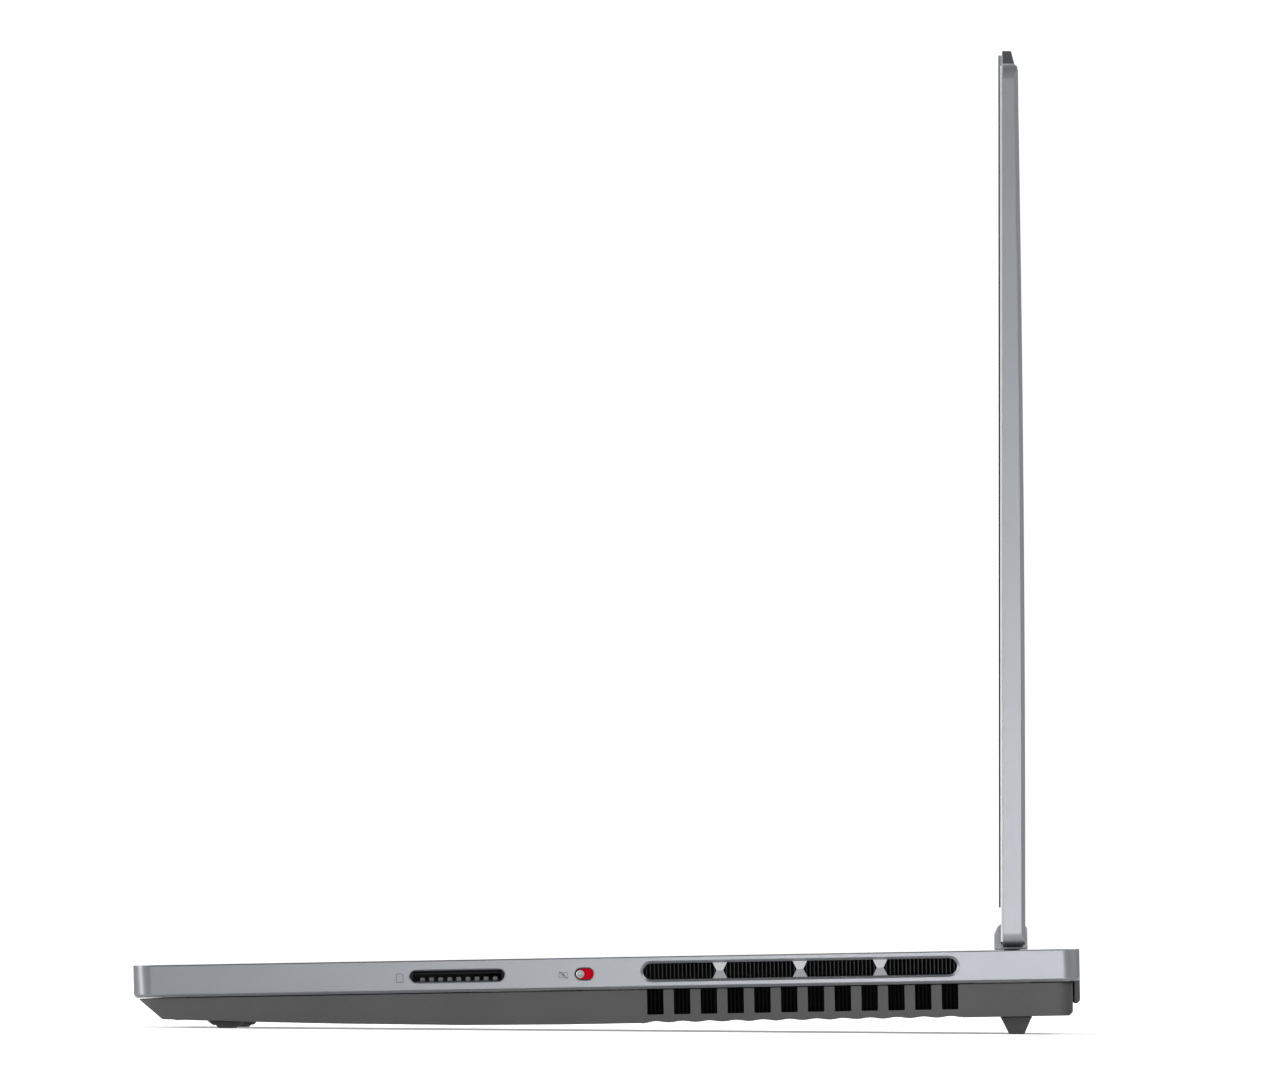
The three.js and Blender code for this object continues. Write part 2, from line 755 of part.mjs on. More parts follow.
const ROTOR = { blades: 17, hub: 13, sweep: 0.5, bladeHalf: 0.7, bottom: -14.8, top: -10.2 };
const SPINDLE = { radius: 3, bottom: -14, clearance: 0.2, floor: 0.4, sides: 16 };

// Air comes in through the round hole below and leaves to the side and to the rear.
function makeFanHousing() {
  const { x0, x1, y0, y1, bottom, top, wall } = HOUSING;
  const low = bottom + wall;
  const high = top - wall;
  const [tipGap, intakeRim, frontRim, rim] = [3, 9, 10, 8];
  const chamber = post(FAN_RADIUS + tipGap, FAN_X, FAN_Y, low, high, 2 * ROUND_SIDES);
  const sideDuct = block(FAN_X, x1 + PAST, y0 + frontRim, y1 - rim, low, high);
  const rearDuct = block(x0 + rim, x1 - rim, FAN_Y, y1 + PAST, low, high);
  const intake = post(FAN_RADIUS - intakeRim, FAN_X, FAN_Y, bottom - PAST, low + SEAM);
  const spindle = post(SPINDLE.radius, FAN_X, FAN_Y, SPINDLE.bottom, high + SEAM, SPINDLE.sides);
  const shell = cut(block(x0, x1, y0, y1, bottom, top), chamber, sideDuct, rearDuct, intake);
  return shell.add(spindle);
}

// Seventeen swept blades around a hub that turns on the housing's spindle.
function makeFanRotor() {
  const { blades, hub, sweep, bladeHalf, bottom, top } = ROTOR;
  const middle = (hub + FAN_RADIUS) / 2;
  const stations = [[hub, 0], [middle, sweep * 0.35], [FAN_RADIUS, sweep]];
  const points = [];
  for (let i = 0; i < blades; i += 1) {
    const angle = (2 * Math.PI * i) / blades;
    const side = (sign) => stations.map(([r, turn]) => {
      const a = angle + turn + (sign * bladeHalf) / r;
      return [r * Math.cos(a), r * Math.sin(a)];
    });
    points.push(...side(-1), ...side(1).reverse());
  }
  const wheel = slab(polygon(points), bottom, top);
  const boreRadius = SPINDLE.radius + SPINDLE.clearance;
  return cut(wheel, post(boreRadius, 0, 0, bottom + SPINDLE.floor, top + PAST, SPINDLE.sides));
}

// Upright fins on a spine; the outline is a comb seen from above.
function comb(length, depth, pitch) {
  const spine = 0.8;
  const fin = 0.5;
  const count = Math.floor((length - fin) / pitch) + 1;
  const points = [[0, 0]];
  for (let i = 0; i < count; i += 1) {
    const x = i * pitch;
    points.push([x, depth], [x + fin, depth]);
    if (i < count - 1) points.push([x + fin, spine], [x + pitch, spine]);
  }
  points.push([(count - 1) * pitch + fin, 0]);
  return polygon(points.reverse());
}

const FIN_PITCH = 3.3;
const SIDE_SINK = { x0: 171.2, x1: 177, y0: 141, y1: 228, z0: -16.3, z1: -1.9 };
const REAR_SINK = { x0: 70, x1: 164, y0: 247.6, y1: 258.3, z0: -14.6, z1: -4 };

function makeSideHeatSink() {
  const { x0, x1, y0, y1, z0, z1 } = SIDE_SINK;
  const geometry = extrude(comb(y1 - y0, x1 - x0, FIN_PITCH), z1 - z0);
  geometry.rotateZ(Math.PI / 2).scale(-1, 1, 1);
  flip(geometry);
  return solidOf(geometry.translate(x0, y0, z0));
}

function makeRearHeatSink() {
  const { x0, x1, y0, y1, z0, z1 } = REAR_SINK;
  return solidOf(extrude(comb(x1 - x0, y1 - y0, FIN_PITCH), z1 - z0).translate(x0, y0, z0));
}

// Turns every triangle over after a mirroring.
function flip(geometry) {
  const positions = geometry.attributes.position.array;
  for (let i = 0; i < positions.length; i += 9) {
    for (let k = 0; k < 3; k += 1) {
      [positions[i + k], positions[i + 3 + k]] = [positions[i + 3 + k], positions[i + k]];
    }
  }
}

const PIPE = { z: -6.9, halfWidth: 3.2, halfHeight: 1.3, sides: 8, steps: 14 };
const COLD_PLATE = { half: 40, y0: 158, y1: 202, bottom: -8.6, overlap: 0.4 };
const INNER_ROUTE = [[24, 186], [62, 196], [86, 234], [124, 240], [162, 240]];
const OUTER_ROUTE = [[30, 174], [74, 184], [100, 222], [136, 229], [158, 218], [164, 196], [164, 160]];

// A flattened heat pipe along a smooth route in plan.
function heatPipe(route) {
  const curve = new THREE.CatmullRomCurve3(route.map(([x, y]) => new THREE.Vector3(x, y, PIPE.z)));
  const section = [];
  for (let i = 0; i < PIPE.sides; i += 1) {
    const angle = (2 * Math.PI * (i + 0.5)) / PIPE.sides;
    section.push([PIPE.halfHeight * Math.cos(angle), PIPE.halfWidth * Math.sin(angle)]);
  }
  const geometry = new THREE.ExtrudeGeometry(polygon(section), {
    steps: PIPE.steps,
    bevelEnabled: false,
    extrudePath: curve,
  });
  return solidOf(geometry);
}

// Four heat pipes run outwards from a plate over the two chips.
function makeThermalModule() {
  const inner = heatPipe(INNER_ROUTE);
  const outer = heatPipe(OUTER_ROUTE);
  const { half, y0, y1, bottom, overlap } = COLD_PLATE;
  const plate = block(-half, half, y0, y1, bottom, PIPE.z + overlap);
  return join(plate, inner, outer, mirrored(inner), mirrored(outer));
}

// ---- Sockets and switch ------------------------------------------------------------

const SOCKET = { wall: 0.6, length: 12, tongueInset: 1.2 };

// A socket with its mouth at y = 0, facing +Y, and a tongue in the middle of its room.
function makeSocket({ halfWidth, halfHeight, tongue }) {
  const { wall, length, tongueInset } = SOCKET;
  const [outerX, outerZ] = [halfWidth + wall, halfHeight + wall];
  const shell = block(-outerX, outerX, -length, 0, -outerZ, outerZ);
  const room = block(-halfWidth, halfWidth, wall - length, PAST, -halfHeight, halfHeight);
  const hollow = cut(shell, room);
  if (tongue === 0) return hollow;
  const reach = halfWidth - tongueInset;
  return hollow.add(block(-reach, reach, wall / 2 - length, -tongueInset, -tongue, tongue));
}

const INNER_FACE = HALF_WIDTH - SIDE_WALL - GAP;
const READER = { length: 25, y0: 75.4, y1: 102.8, z0: -6.9, z1: -2.2 };
const READER_ROOM = { y0: 77, y1: 101.2, z0: -5.6, z1: -3.1, wall: 1 };
const CONTACTS = { count: 9, first: 79, pitch: 2.5, width: 1.3, x0: -3, x1: -0.4, top: -4.7 };

function makeCardReader() {
  const inner = INNER_FACE - READER.length;
  const body = block(inner, INNER_FACE, READER.y0, READER.y1, READER.z0, READER.z1);
  const { y0, y1, z0, z1, wall } = READER_ROOM;
  const room = block(inner + wall, INNER_FACE + PAST, y0, y1, z0, z1);
  const contacts = [];
  for (let i = 0; i < CONTACTS.count; i += 1) {
    const y = CONTACTS.first + i * CONTACTS.pitch;
    const [x0, x1] = [INNER_FACE + CONTACTS.x0, INNER_FACE + CONTACTS.x1];
    contacts.push(block(x0, x1, y, y + CONTACTS.width, z0 - SEAM, CONTACTS.top));
  }
  return join(cut(body, room), ...contacts);
}

function makeShutterSwitch() {
  const { depth, y0, y1, z0, z1 } = { depth: 4, y0: 117, y1: 131, z0: -7.4, z1: -1.9 };
  return block(INNER_FACE - depth, INNER_FACE, y0, y1, z0, z1);
}

const KNOB = { y: 122.9, radius: 1.15, recess: 0.35, dishRadius: 0.75, dishDepth: 0.25 };

// A round knob in the switch's slot, with a shallow dish for a fingernail.
function makeShutterSlider() {
  const front = HALF_WIDTH - KNOB.recess;
  const { z } = SWITCH_SLOT;
  const knob = rod(KNOB.radius, HALF_WIDTH - SIDE_WALL, front, KNOB.y, z);
  return cut(knob, rod(KNOB.dishRadius, front - KNOB.dishDepth, front + PAST, KNOB.y, z));
}

// ---- Hinges ------------------------------------------------------------------------

const CAP_OUTLINE = [
  [-4.87, -3.75],
  [4.29, -3.75],
  [4.29, 2.1],
  [3.7, 3.1],
  [2.8, 3.44],
  [-2.9, 3.44],
  [-3.9, 2.7],
  [-4.87, 0.4],
];
const PIN_CLEARANCE = 0.5;

function makeHingeCap() {
  const wall = 1;
  const shrink = ([y, z]) => [y - Math.sign(y) * wall, z - wall];
  const outer = bar(polygon(CAP_OUTLINE), CAP_INNER, CAP_OUTER);
  const inner = bar(polygon(CAP_OUTLINE.map(shrink)), CAP_INNER + wall, CAP_OUTER - wall);
  const hole = rod(PIN_RADIUS + PIN_CLEARANCE, CAP_INNER - PAST, CAP_INNER + wall + SEAM, 0, 0);
  return cut(outer, inner, hole);
}

const BRACKET = { x0: 102, x1: 148, y0: 222, y1: 246, thickness: 1.5 };
const KNUCKLE = { x0: 106, x1: 116, half: 2.1, rise: 1.9, clearance: 0.1 };

function makeHingeBracket() {
  const top = -DECK_PLATE - GAP;
  const bottom = top - BRACKET.thickness;
  const plate = block(BRACKET.x0, BRACKET.x1, BRACKET.y0, BRACKET.y1, bottom, top);
  const { x0, x1, half, rise, clearance } = KNUCKLE;
  const knuckle = block(x0, x1, HINGE_Y - half, HINGE_Y + half, bottom, HINGE_RISE + rise);
  const bore = rod(PIN_RADIUS + clearance, x0 - PAST, x1 + PAST, HINGE_Y, HINGE_RISE);
  return cut(plate.add(knuckle), bore);
}

const PIN = { x0: 93, x1: 119.5 };
const NUT = { x0: 116.6, radius: 2.2, sides: 6 };
const BOSS = { x0: 88, x1: 97.6, front: -1.6, back: 1.9, bottom: -1.7, top: 7.4 };
const STRAP = { x0: 84, front: 0.5, bottom: 4, top: 58 };

// Lid side of the hinge: a pin through the bracket's knuckle and a strap up behind the panel.
function makeHingeArm() {
  const pin = rod(PIN_RADIUS, PIN.x0, PIN.x1, 0, 0);
  const nut = rod(NUT.radius, NUT.x0, PIN.x1, 0, 0, NUT.sides);
  const boss = block(BOSS.x0, BOSS.x1, BOSS.front, BOSS.back, BOSS.bottom, BOSS.top);
  const strap = block(STRAP.x0, BOSS.x1, STRAP.front, BOSS.back, STRAP.bottom, STRAP.top);
  return join(boss, strap, pin, nut);
}

// ---- Lid -----------------------------------------------------------------------------

const CROWN_START = 30;

// The back is flat near the hinge and curves gently forward towards the top.
function lidBackAt(z) {
  const bend = 4.4e-5;
  return LID_BACK - bend * Math.max(0, z - CROWN_START) ** 2;
}

function lidProfile() {
  const crown = [];
  const steps = 7;
  for (let i = 0; i <= steps; i += 1) {
    const z = CROWN_START + ((LID_TOP - LID_CHAMFER - CROWN_START) * i) / steps;
    crown.push([lidBackAt(z), z]);
  }
  const topBack = lidBackAt(LID_TOP);
  return polygon([
    [LID_FRONT - 2 * LID_CHAMFER, LID_BOTTOM],
    [LID_BACK - LID_CHAMFER, LID_BOTTOM],
    [LID_BACK, LID_BOTTOM + LID_CHAMFER],
    ...crown,
    [topBack - LID_CHAMFER, LID_TOP],
    [LID_FRONT - 2 * LID_CHAMFER, LID_TOP],
  ]);
}

const LID_CORNER = 4.2;
const LID_RIM = 2.4;
const LID_SKIN = 1.1;
const NOTCH = { x0: CAP_INNER - 0.6, x1: CAP_OUTER + 0.6, top: 5.84 };
const NOTCH_WALL = 1.2;
const ANY_DEPTH = 20;

// The room cut from the lid's lower edge for one hinge cap, grown by a wall if asked.
function hingeNotch(wall = 0) {
  const depth = 2 * BEYOND;
  return block(NOTCH.x0 - wall, NOTCH.x1 + wall, -depth, depth, -depth, NOTCH.top + wall);
}

const BUMP = { half: 46, topHalf: 38, root: 6 };

// The camera bump's outline seen from the front, shrunk by an inset.
function bumpOutline(inset) {
  const low = LID_TOP - BUMP.root;
  return polygon([
    [-BUMP.half + inset, low],
    [BUMP.half - inset, low],
    [BUMP.half - inset, LID_TOP - inset],
    [BUMP.topHalf - inset, BUMP_TOP - inset],
    [-BUMP.topHalf + inset, BUMP_TOP - inset],
    [-BUMP.half + inset, LID_TOP - inset],
  ]);
}

// The bump seen from the side: its back slopes forward above the lid's top edge.
function makeBump() {
  const low = LID_TOP - BUMP.root + PAST;
  const side = polygon([
    [LID_FRONT, low],
    [lidBackAt(LID_TOP) - LID_CHAMFER, low],
    [lidBackAt(LID_TOP), LID_TOP - LID_CHAMFER],
    [0, BUMP_TOP],
    [LID_FRONT, BUMP_TOP],
  ]);
  const bulk = bar(side, -BUMP.half - PAST, BUMP.half + PAST);
  return bulk.intersect(panel(bumpOutline(0), -ANY_DEPTH, ANY_DEPTH));
}

// The solid form of the lid before it is hollowed.
function lidForm() {
  const half = HALF_WIDTH;
  const length = 2 * half - 2 * LID_CHAMFER;
  const swept = extrude(lidProfile(), length, LID_CHAMFER, -LID_CHAMFER).applyMatrix4(SIDEWAYS);
  const body = solidOf(swept.translate(-half + LID_CHAMFER, 0, 0));
  const outline = roundedRectangle(-half, half, LID_BOTTOM, LID_TOP, LID_CORNER);
  const rounded = body.intersect(panel(outline, -ANY_DEPTH, ANY_DEPTH));
  const wide = half + PAST;
  const front = block(-wide, wide, -ANY_DEPTH, LID_FRONT, -ANY_DEPTH, LID_TOP + ANY_DEPTH);
  return cut(rounded, front).add(makeBump());
}

// The room for the panel: a floor above the lower edge and a rim along the others.
function lidRoom() {
  const inside = HALF_WIDTH - LID_RIM;
  const low = LID_BOTTOM + NOTCH_WALL;
  const high = LID_TOP - LID_RIM;
  const side = polygon([
    [LID_FRONT - PAST, low],
    [LID_BACK - LID_SKIN, low],
    [LID_BACK - LID_SKIN, CROWN_START],
    [lidBackAt(LID_TOP / 2) - LID_SKIN, LID_TOP / 2],
    [lidBackAt(LID_TOP) - LID_SKIN, high],
    [LID_FRONT - PAST, high],
  ]);
  const notch = hingeNotch(NOTCH_WALL);
  return cut(bar(side, -inside, inside), notch, mirrored(notch));
}

function makeLidBack() {
  const camera = { half: 34, low: LID_TOP - LID_RIM - PAST, high: LID_TOP + 0.6 };
  const back = lidBackAt(LID_TOP) - LID_SKIN;
  const cameraRoom = block(-camera.half, camera.half, LID_FRONT - PAST, back, camera.low, camera.high);
  const notch = hingeNotch();
  const pinHole = rod(PIN_RADIUS + PIN_CLEARANCE, NOTCH.x0 - 3, NOTCH.x0 + PAST, 0, 0);
  return cut(lidForm(), lidRoom(), cameraRoom, notch, mirrored(notch), pinHole, mirrored(pinHole));
}

const BEZEL = {
  back: LID_FRONT - SEAM,
  front: -2.98,
  half: HALF_WIDTH - 1.4,
  bottom: -2.4,
  top: LID_TOP - 1.2,
  corner: 3,
};
const WINDOW = { half: 172.35, low: 14, high: 229.4, corner: 1 };
const LENS = { z: 236, radius: 1.6, hole: 2.2 };
const EDGE_INSET = 1.2;

function makeBezel() {
  const { back, front, half, bottom, top, corner } = BEZEL;
  const plate = panel(roundedRectangle(-half, half, bottom, top, corner), front, back);
  const tab = panel(bumpOutline(EDGE_INSET), front, back);
  const opening = roundedRectangle(-WINDOW.half, WINDOW.half, WINDOW.low, WINDOW.high, WINDOW.corner);
  const { z, hole } = LENS;
  const lensHole = panel(roundedRectangle(-hole, hole, z - hole, z + hole, hole), -ANY_DEPTH, ANY_DEPTH);
  const window = panel(opening, -ANY_DEPTH, ANY_DEPTH);
  return cut(plate.add(tab), window, lensHole, hingeNotch(), mirrored(hingeNotch()));
}

const GASKET = { front: -3.5, width: 1.6, low: 8.1, half: HALF_WIDTH - 2, top: LID_TOP - 1.1, corner: 2.5 };

// A thin rubber frame on the bezel, which runs out around the camera bump.
function makeGasket() {
  const { front, width, low, half, top, corner } = GASKET;
  const back = BEZEL.front - SEAM;
  const ringOf = (inset) => {
    const ring = roundedRectangle(-half + inset, half - inset, low + inset, top - inset, corner);
    return panel(ring, front - inset, back + inset);
  };
  const tabOf = (inset) => panel(bumpOutline(EDGE_INSET + inset), front - inset, back + inset);
  return cut(ringOf(0).add(tabOf(0)), ringOf(width), tabOf(width));
}

function makePanel() {
  const { half, front, back, low, high } = { half: 174.6, front: -2.1, back: 0.1, low: 8, high: 231 };
  return block(-half, half, front, back, low, high);
}

const CAMERA_CARD = { half: 30, front: -1.2, back: 0.2, low: 232.2, high: 239.6 };

function makeCamera() {
  const { half, front, back, low, high } = CAMERA_CARD;
  const card = block(-half, half, front, back, low, high);
  const length = 1.2;
  const barrel = new THREE.CylinderGeometry(LENS.radius, LENS.radius, length, ROUND_SIDES);
  barrel.translate(0, front + 0.2 - length / 2, LENS.z);
  return card.add(solidOf(barrel));
}

// ---- Assembly --------------------------------------------------------------------------

const laptop = new THREE.Group();
const base = new THREE.Group();
const lid = new THREE.Group();
laptop.add(base, lid);

// The rear wall's lower end reaches furthest back, so the footprint is centred on it.
const reach = DEPTH * Math.cos(RAKE) - (LIP_BOTTOM + EDGE_CHAMFER) * Math.sin(RAKE);
base.position.set(0, -reach / 2, FRONT_RISE);
base.rotation.x = RAKE;
base.updateMatrix();

const hingeAxis = new THREE.Vector3(0, HINGE_Y, HINGE_RISE).applyMatrix4(base.matrix);
lid.position.copy(hingeAxis);
lid.rotation.x = LID_LEAN;

function place(group, name, solid, material, position = [0, 0, 0], turn = 0) {
  const mesh = new THREE.Mesh(geometryOf(solid), material);
  mesh.name = name;
  mesh.position.set(...position);
  mesh.rotation.z = turn;
  group.add(mesh);
}

function placePair(group, name, solid, material) {
  place(group, `${name}_right`, solid, material());
  place(group, `${name}_left`, mirrored(solid), material());
}

place(base, "top_case", makeTopCase(), aluminium());
place(base, "port_panel", makePortPanel(), aluminium());
place(base, "bottom_cover", makeBottomCover(), darkPlastic());
place(base, "front_foot_right", makeFrontFoot(FRONT_FOOT.x0, FRONT_FOOT.x1), rubber());
place(base, "front_foot_left", makeFrontFoot(-FRONT_FOOT.x1, -FRONT_FOOT.x0), rubber());
place(base, "rear_foot", makeRearFoot(), rubber());

for (const { name, row, start, widths } of KEY_ROWS) {
  place(base, name, keyRow(row, start, widths), blackPlastic());
}
place(base, "keys_number_pad", makeNumberPad(), blackPlastic());
place(base, "keyboard_plate", makeKeyboardPlate(), steel());
place(base, "touchpad", makeTouchpad(), darkPlastic());
place(base, "power_button", makePowerButton(), aluminium());

place(base, "mainboard", makeMainboard(), board());
place(base, "battery_pack", makeBattery(), blackPlastic());
place(base, "memory_module", makeCard(-40, 30, 106, 136), board());
place(base, "storage_module", makeCard(-40, 40, 208, 230), board());
place(base, "wireless_card", makeCard(40, 62, 146, 176), board());
placePair(base, "speaker", makeSpeaker(), blackPlastic);

placePair(base, "fan_housing", makeFanHousing(), blackPlastic);
const rotor = makeFanRotor();
place(base, "fan_rotor_right", rotor, blackPlastic(), [FAN_X, FAN_Y, 0]);
place(base, "fan_rotor_left", mirrored(rotor), blackPlastic(), [-FAN_X, FAN_Y, 0]);
placePair(base, "side_heat_sink", makeSideHeatSink(), copper);
placePair(base, "rear_heat_sink", makeRearHeatSink(), copper);
place(base, "thermal_module", makeThermalModule(), copper());

place(base, "card_reader", makeCardReader(), steel());
place(base, "shutter_switch", makeShutterSwitch(), blackPlastic());
place(base, "shutter_slider", makeShutterSlider(), steel());
for (const port of LEFT_PORTS) {
  const position = [-HALF_WIDTH + SIDE_WALL + GAP, port.y, port.z];
  place(base, port.name, makeSocket(port), steel(), position, Math.PI / 2);
}
for (const port of REAR_PORTS) {
  place(base, port.name, makeSocket(port), steel(), [port.x, DEPTH - REAR_WALL - GAP, port.z]);
}

placePair(base, "hinge_bracket", makeHingeBracket(), steel);
const cap = makeHingeCap();
place(base, "hinge_cap_right", cap, aluminium(), [0, HINGE_Y, HINGE_RISE]);
place(base, "hinge_cap_left", mirrored(cap), aluminium(), [0, HINGE_Y, HINGE_RISE]);

place(lid, "lid_back_cover", makeLidBack(), aluminium());
place(lid, "display_bezel", makeBezel(), blackPlastic());
place(lid, "bezel_gasket", makeGasket(), rubber());
place(lid, "display_panel", makePanel(), screenGlass());
place(lid, "camera_module", makeCamera(), board());
placePair(lid, "hinge_arm", makeHingeArm(), steel);

export default laptop;
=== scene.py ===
import json
import math

import bmesh
import bpy
from mathutils import Matrix, Quaternion, Vector


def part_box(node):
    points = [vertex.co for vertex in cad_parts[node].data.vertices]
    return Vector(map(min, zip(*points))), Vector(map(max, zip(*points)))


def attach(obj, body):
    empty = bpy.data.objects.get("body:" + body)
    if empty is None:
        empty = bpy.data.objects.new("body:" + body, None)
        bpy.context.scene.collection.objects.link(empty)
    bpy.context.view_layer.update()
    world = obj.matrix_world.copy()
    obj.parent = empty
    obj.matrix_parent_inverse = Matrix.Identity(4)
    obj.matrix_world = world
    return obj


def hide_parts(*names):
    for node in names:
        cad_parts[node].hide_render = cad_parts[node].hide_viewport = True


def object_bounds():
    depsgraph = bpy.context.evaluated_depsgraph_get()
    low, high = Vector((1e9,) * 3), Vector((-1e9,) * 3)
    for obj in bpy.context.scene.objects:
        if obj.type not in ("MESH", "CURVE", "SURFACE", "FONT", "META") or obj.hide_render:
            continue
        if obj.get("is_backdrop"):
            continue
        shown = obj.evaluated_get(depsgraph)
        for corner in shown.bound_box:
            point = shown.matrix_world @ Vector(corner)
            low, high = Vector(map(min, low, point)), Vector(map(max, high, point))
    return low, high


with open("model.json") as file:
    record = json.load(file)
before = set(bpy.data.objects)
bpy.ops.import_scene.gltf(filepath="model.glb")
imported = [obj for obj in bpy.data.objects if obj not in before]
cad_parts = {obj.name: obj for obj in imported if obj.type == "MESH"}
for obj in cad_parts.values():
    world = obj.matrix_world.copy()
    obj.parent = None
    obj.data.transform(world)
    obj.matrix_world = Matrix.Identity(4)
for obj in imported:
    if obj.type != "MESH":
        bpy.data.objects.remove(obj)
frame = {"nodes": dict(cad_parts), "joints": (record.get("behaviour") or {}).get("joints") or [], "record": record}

CAD_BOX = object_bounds()
NODES = frame["nodes"]
JOINTS = {joint["name"]: joint for joint in frame["joints"]}
SLOTS = {part["node"]: part["material_slot"] for part in frame["record"]["subparts"]}

# ---- Places ----------------------------------------------------------------
# Details are drawn in millimetres in two frames, and then carried over to metres.
# In the deck's frame y runs from the front edge to the rear and z up from the deck.
# In the lid's frame the hinge's axis is the origin, y runs to its back and z up to its top.

MM = 0.001
HALF_WIDTH = 179.85
DEPTH = 260.3
RAKE = math.asin(JOINTS["press_home_row"]["axis"][1])
LID_LEAN = math.radians(0.48)
CASE_LOW, CASE_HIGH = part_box("top_case")
DECK_ORIGIN = Vector((0, CASE_LOW.y, CASE_HIGH.z - DEPTH * MM * math.sin(RAKE)))
HINGE = Vector(JOINTS["lid_hinge"]["pos_m"])


def local_frame(origin, tilt):
    return Matrix.Translation(origin) @ Matrix.Rotation(tilt, 4, "X") @ Matrix.Scale(MM, 4)


DECK = local_frame(DECK_ORIGIN, RAKE)
LID = local_frame(HINGE, LID_LEAN)
SIDES = (("right", 1), ("left", -1))

# ---- Camera ----------------------------------------------------------------

VIEW_WIDTH = 0.3471
LENS = 1400
SENSOR = 36
VIEW_TARGET = Vector((HALF_WIDTH * MM, 0.0058, 0.1335))
CAMERA_SIDE = 0.1095
CAMERA_HEIGHT = 0.0215
ROLL = math.radians(0.435)


def make_camera():
    data = bpy.data.cameras.new("camera")
    data.lens = LENS
    data.sensor_width = SENSOR
    distance = VIEW_WIDTH * LENS / SENSOR
    data.clip_start = 0.1
    data.clip_end = 4 * distance
    camera = bpy.data.objects.new("camera", data)
    bpy.context.scene.collection.objects.link(camera)
    camera.location = (VIEW_TARGET.x + distance, CAMERA_SIDE, CAMERA_HEIGHT)
    camera.rotation_mode = "QUATERNION"
    aim = (VIEW_TARGET - camera.location).to_track_quat("-Z", "Y")
    camera.rotation_quaternion = aim @ Quaternion((0, 0, 1), ROLL)
    bpy.context.scene.camera = camera


make_camera()

# ---- Materials ---------------------------------------------------------------


class Graph:
    """A material's nodes: its shader, and textures placed in the object's own coordinates."""

    def __init__(self, name):
        self.material = bpy.data.materials.new(name)
        self.material.use_nodes = True
        self.nodes = self.material.node_tree.nodes
        self.links = self.material.node_tree.links
        self.shader = self.nodes["Principled BSDF"]
        self.where = self.nodes.new("ShaderNodeTexCoord").outputs["Object"]

    def set(self, **values):
        for name, value in values.items():
            self.shader.inputs[name.replace("_", " ")].default_value = value

    def stretch(self, scale):
        node = self.nodes.new("ShaderNodeMapping")
        node.inputs["Scale"].default_value = scale
        self.links.new(self.where, node.inputs["Vector"])
        return node.outputs["Vector"]

    def noise(self, size, detail=2.0, vector=None):
        node = self.nodes.new("ShaderNodeTexNoise")
        node.inputs["Scale"].default_value = 1 / size
        node.inputs["Detail"].default_value = detail
        self.links.new(vector or self.where, node.inputs["Vector"])
        return node.outputs["Fac"]

    def spread(self, value, low, high, source=(0.3, 0.7)):
        node = self.nodes.new("ShaderNodeMapRange")
        node.inputs["From Min"].default_value, node.inputs["From Max"].default_value = source
        node.inputs["To Min"].default_value, node.inputs["To Max"].default_value = low, high
        self.links.new(value, node.inputs["Value"])
        return node.outputs["Result"]

    def blend(self, factor, first, second):
        node = self.nodes.new("ShaderNodeMix")
        node.data_type = "RGBA"
        node.inputs["A"].default_value = (*first, 1)
        node.inputs["B"].default_value = (*second, 1)
        self.links.new(factor, node.inputs["Factor"])
        return node.outputs["Result"]

    def feed(self, output, name):
        self.links.new(output, self.shader.inputs[name])

    def bump(self, height, depth):
        node = self.nodes.new("ShaderNodeBump")
        node.inputs["Strength"].default_value = 1
        node.inputs["Distance"].default_value = depth
        self.links.new(height, node.inputs["Height"])
        self.feed(node.outputs["Normal"], "Normal")


def toned(color, share):
    return tuple(channel * share for channel in color)


def grained_graph(name, color, roughness, metallic=0.0, grain=0.3 * MM, depth=0.01 * MM, tone=0.05,
                  gloss=0.05, patch=30 * MM, **values):
    """A surface with fine grain, soft patches of tone and slightly uneven gloss."""
    graph = Graph(name)
    patches = graph.noise(patch)
    fine = graph.noise(grain, 3)
    shade = graph.blend(graph.spread(patches, 0, 1), toned(color, 1 - tone), toned(color, 1 + tone))
    graph.feed(shade, "Base Color")
    graph.feed(graph.spread(fine, roughness - gloss, roughness + gloss), "Roughness")
    graph.bump(fine, depth)
    graph.set(Metallic=metallic, **values)
    return graph


def grained(*options, **values):
    return grained_graph(*options, **values).material


SOFT_EDGE = 0.1 * MM
HARD_EDGE = 0.04 * MM
BUMP_FOOT = 239.9 * MM
LIP_SEAM = DECK_ORIGIN.z - 2.1 * MM
LIP_BACK = DECK_ORIGIN.y + 257.8 * MM
LIP_SHADE_COLOR = (0.06, 0.06, 0.062)
CORNER_START = DECK_ORIGIN.y + 256.2 * MM
ALUMINIUM = (0.335, 0.348, 0.371)


def plane_mask(graph, normal, edge, blur):
    """1 on the side of a plane that its normal points to, 0 on the other."""
    node = graph.nodes.new("ShaderNodeVectorMath")
    node.operation = "DOT_PRODUCT"
    node.inputs[1].default_value = normal
    graph.links.new(graph.where, node.inputs[0])
    return graph.spread(node.outputs["Value"], 0, 1, (edge - blur / 2, edge + blur / 2))


def combine(graph, operation, first, second):
    node = graph.nodes.new("ShaderNodeMath")
    node.operation = operation
    graph.links.new(first, node.inputs[0])
    graph.links.new(second, node.inputs[1])
    return node.outputs["Value"]


def paint_over(graph, mask, color):
    """Covers part of a surface with a plain paint of another colour."""
    node = graph.nodes.new("ShaderNodeMix")
    node.data_type = "RGBA"
    node.inputs["B"].default_value = (*color, 1)
    graph.links.new(mask, node.inputs["Factor"])
    graph.links.new(graph.shader.inputs["Base Color"].links[0].from_socket, node.inputs["A"])
    graph.feed(node.outputs["Result"], "Base Color")


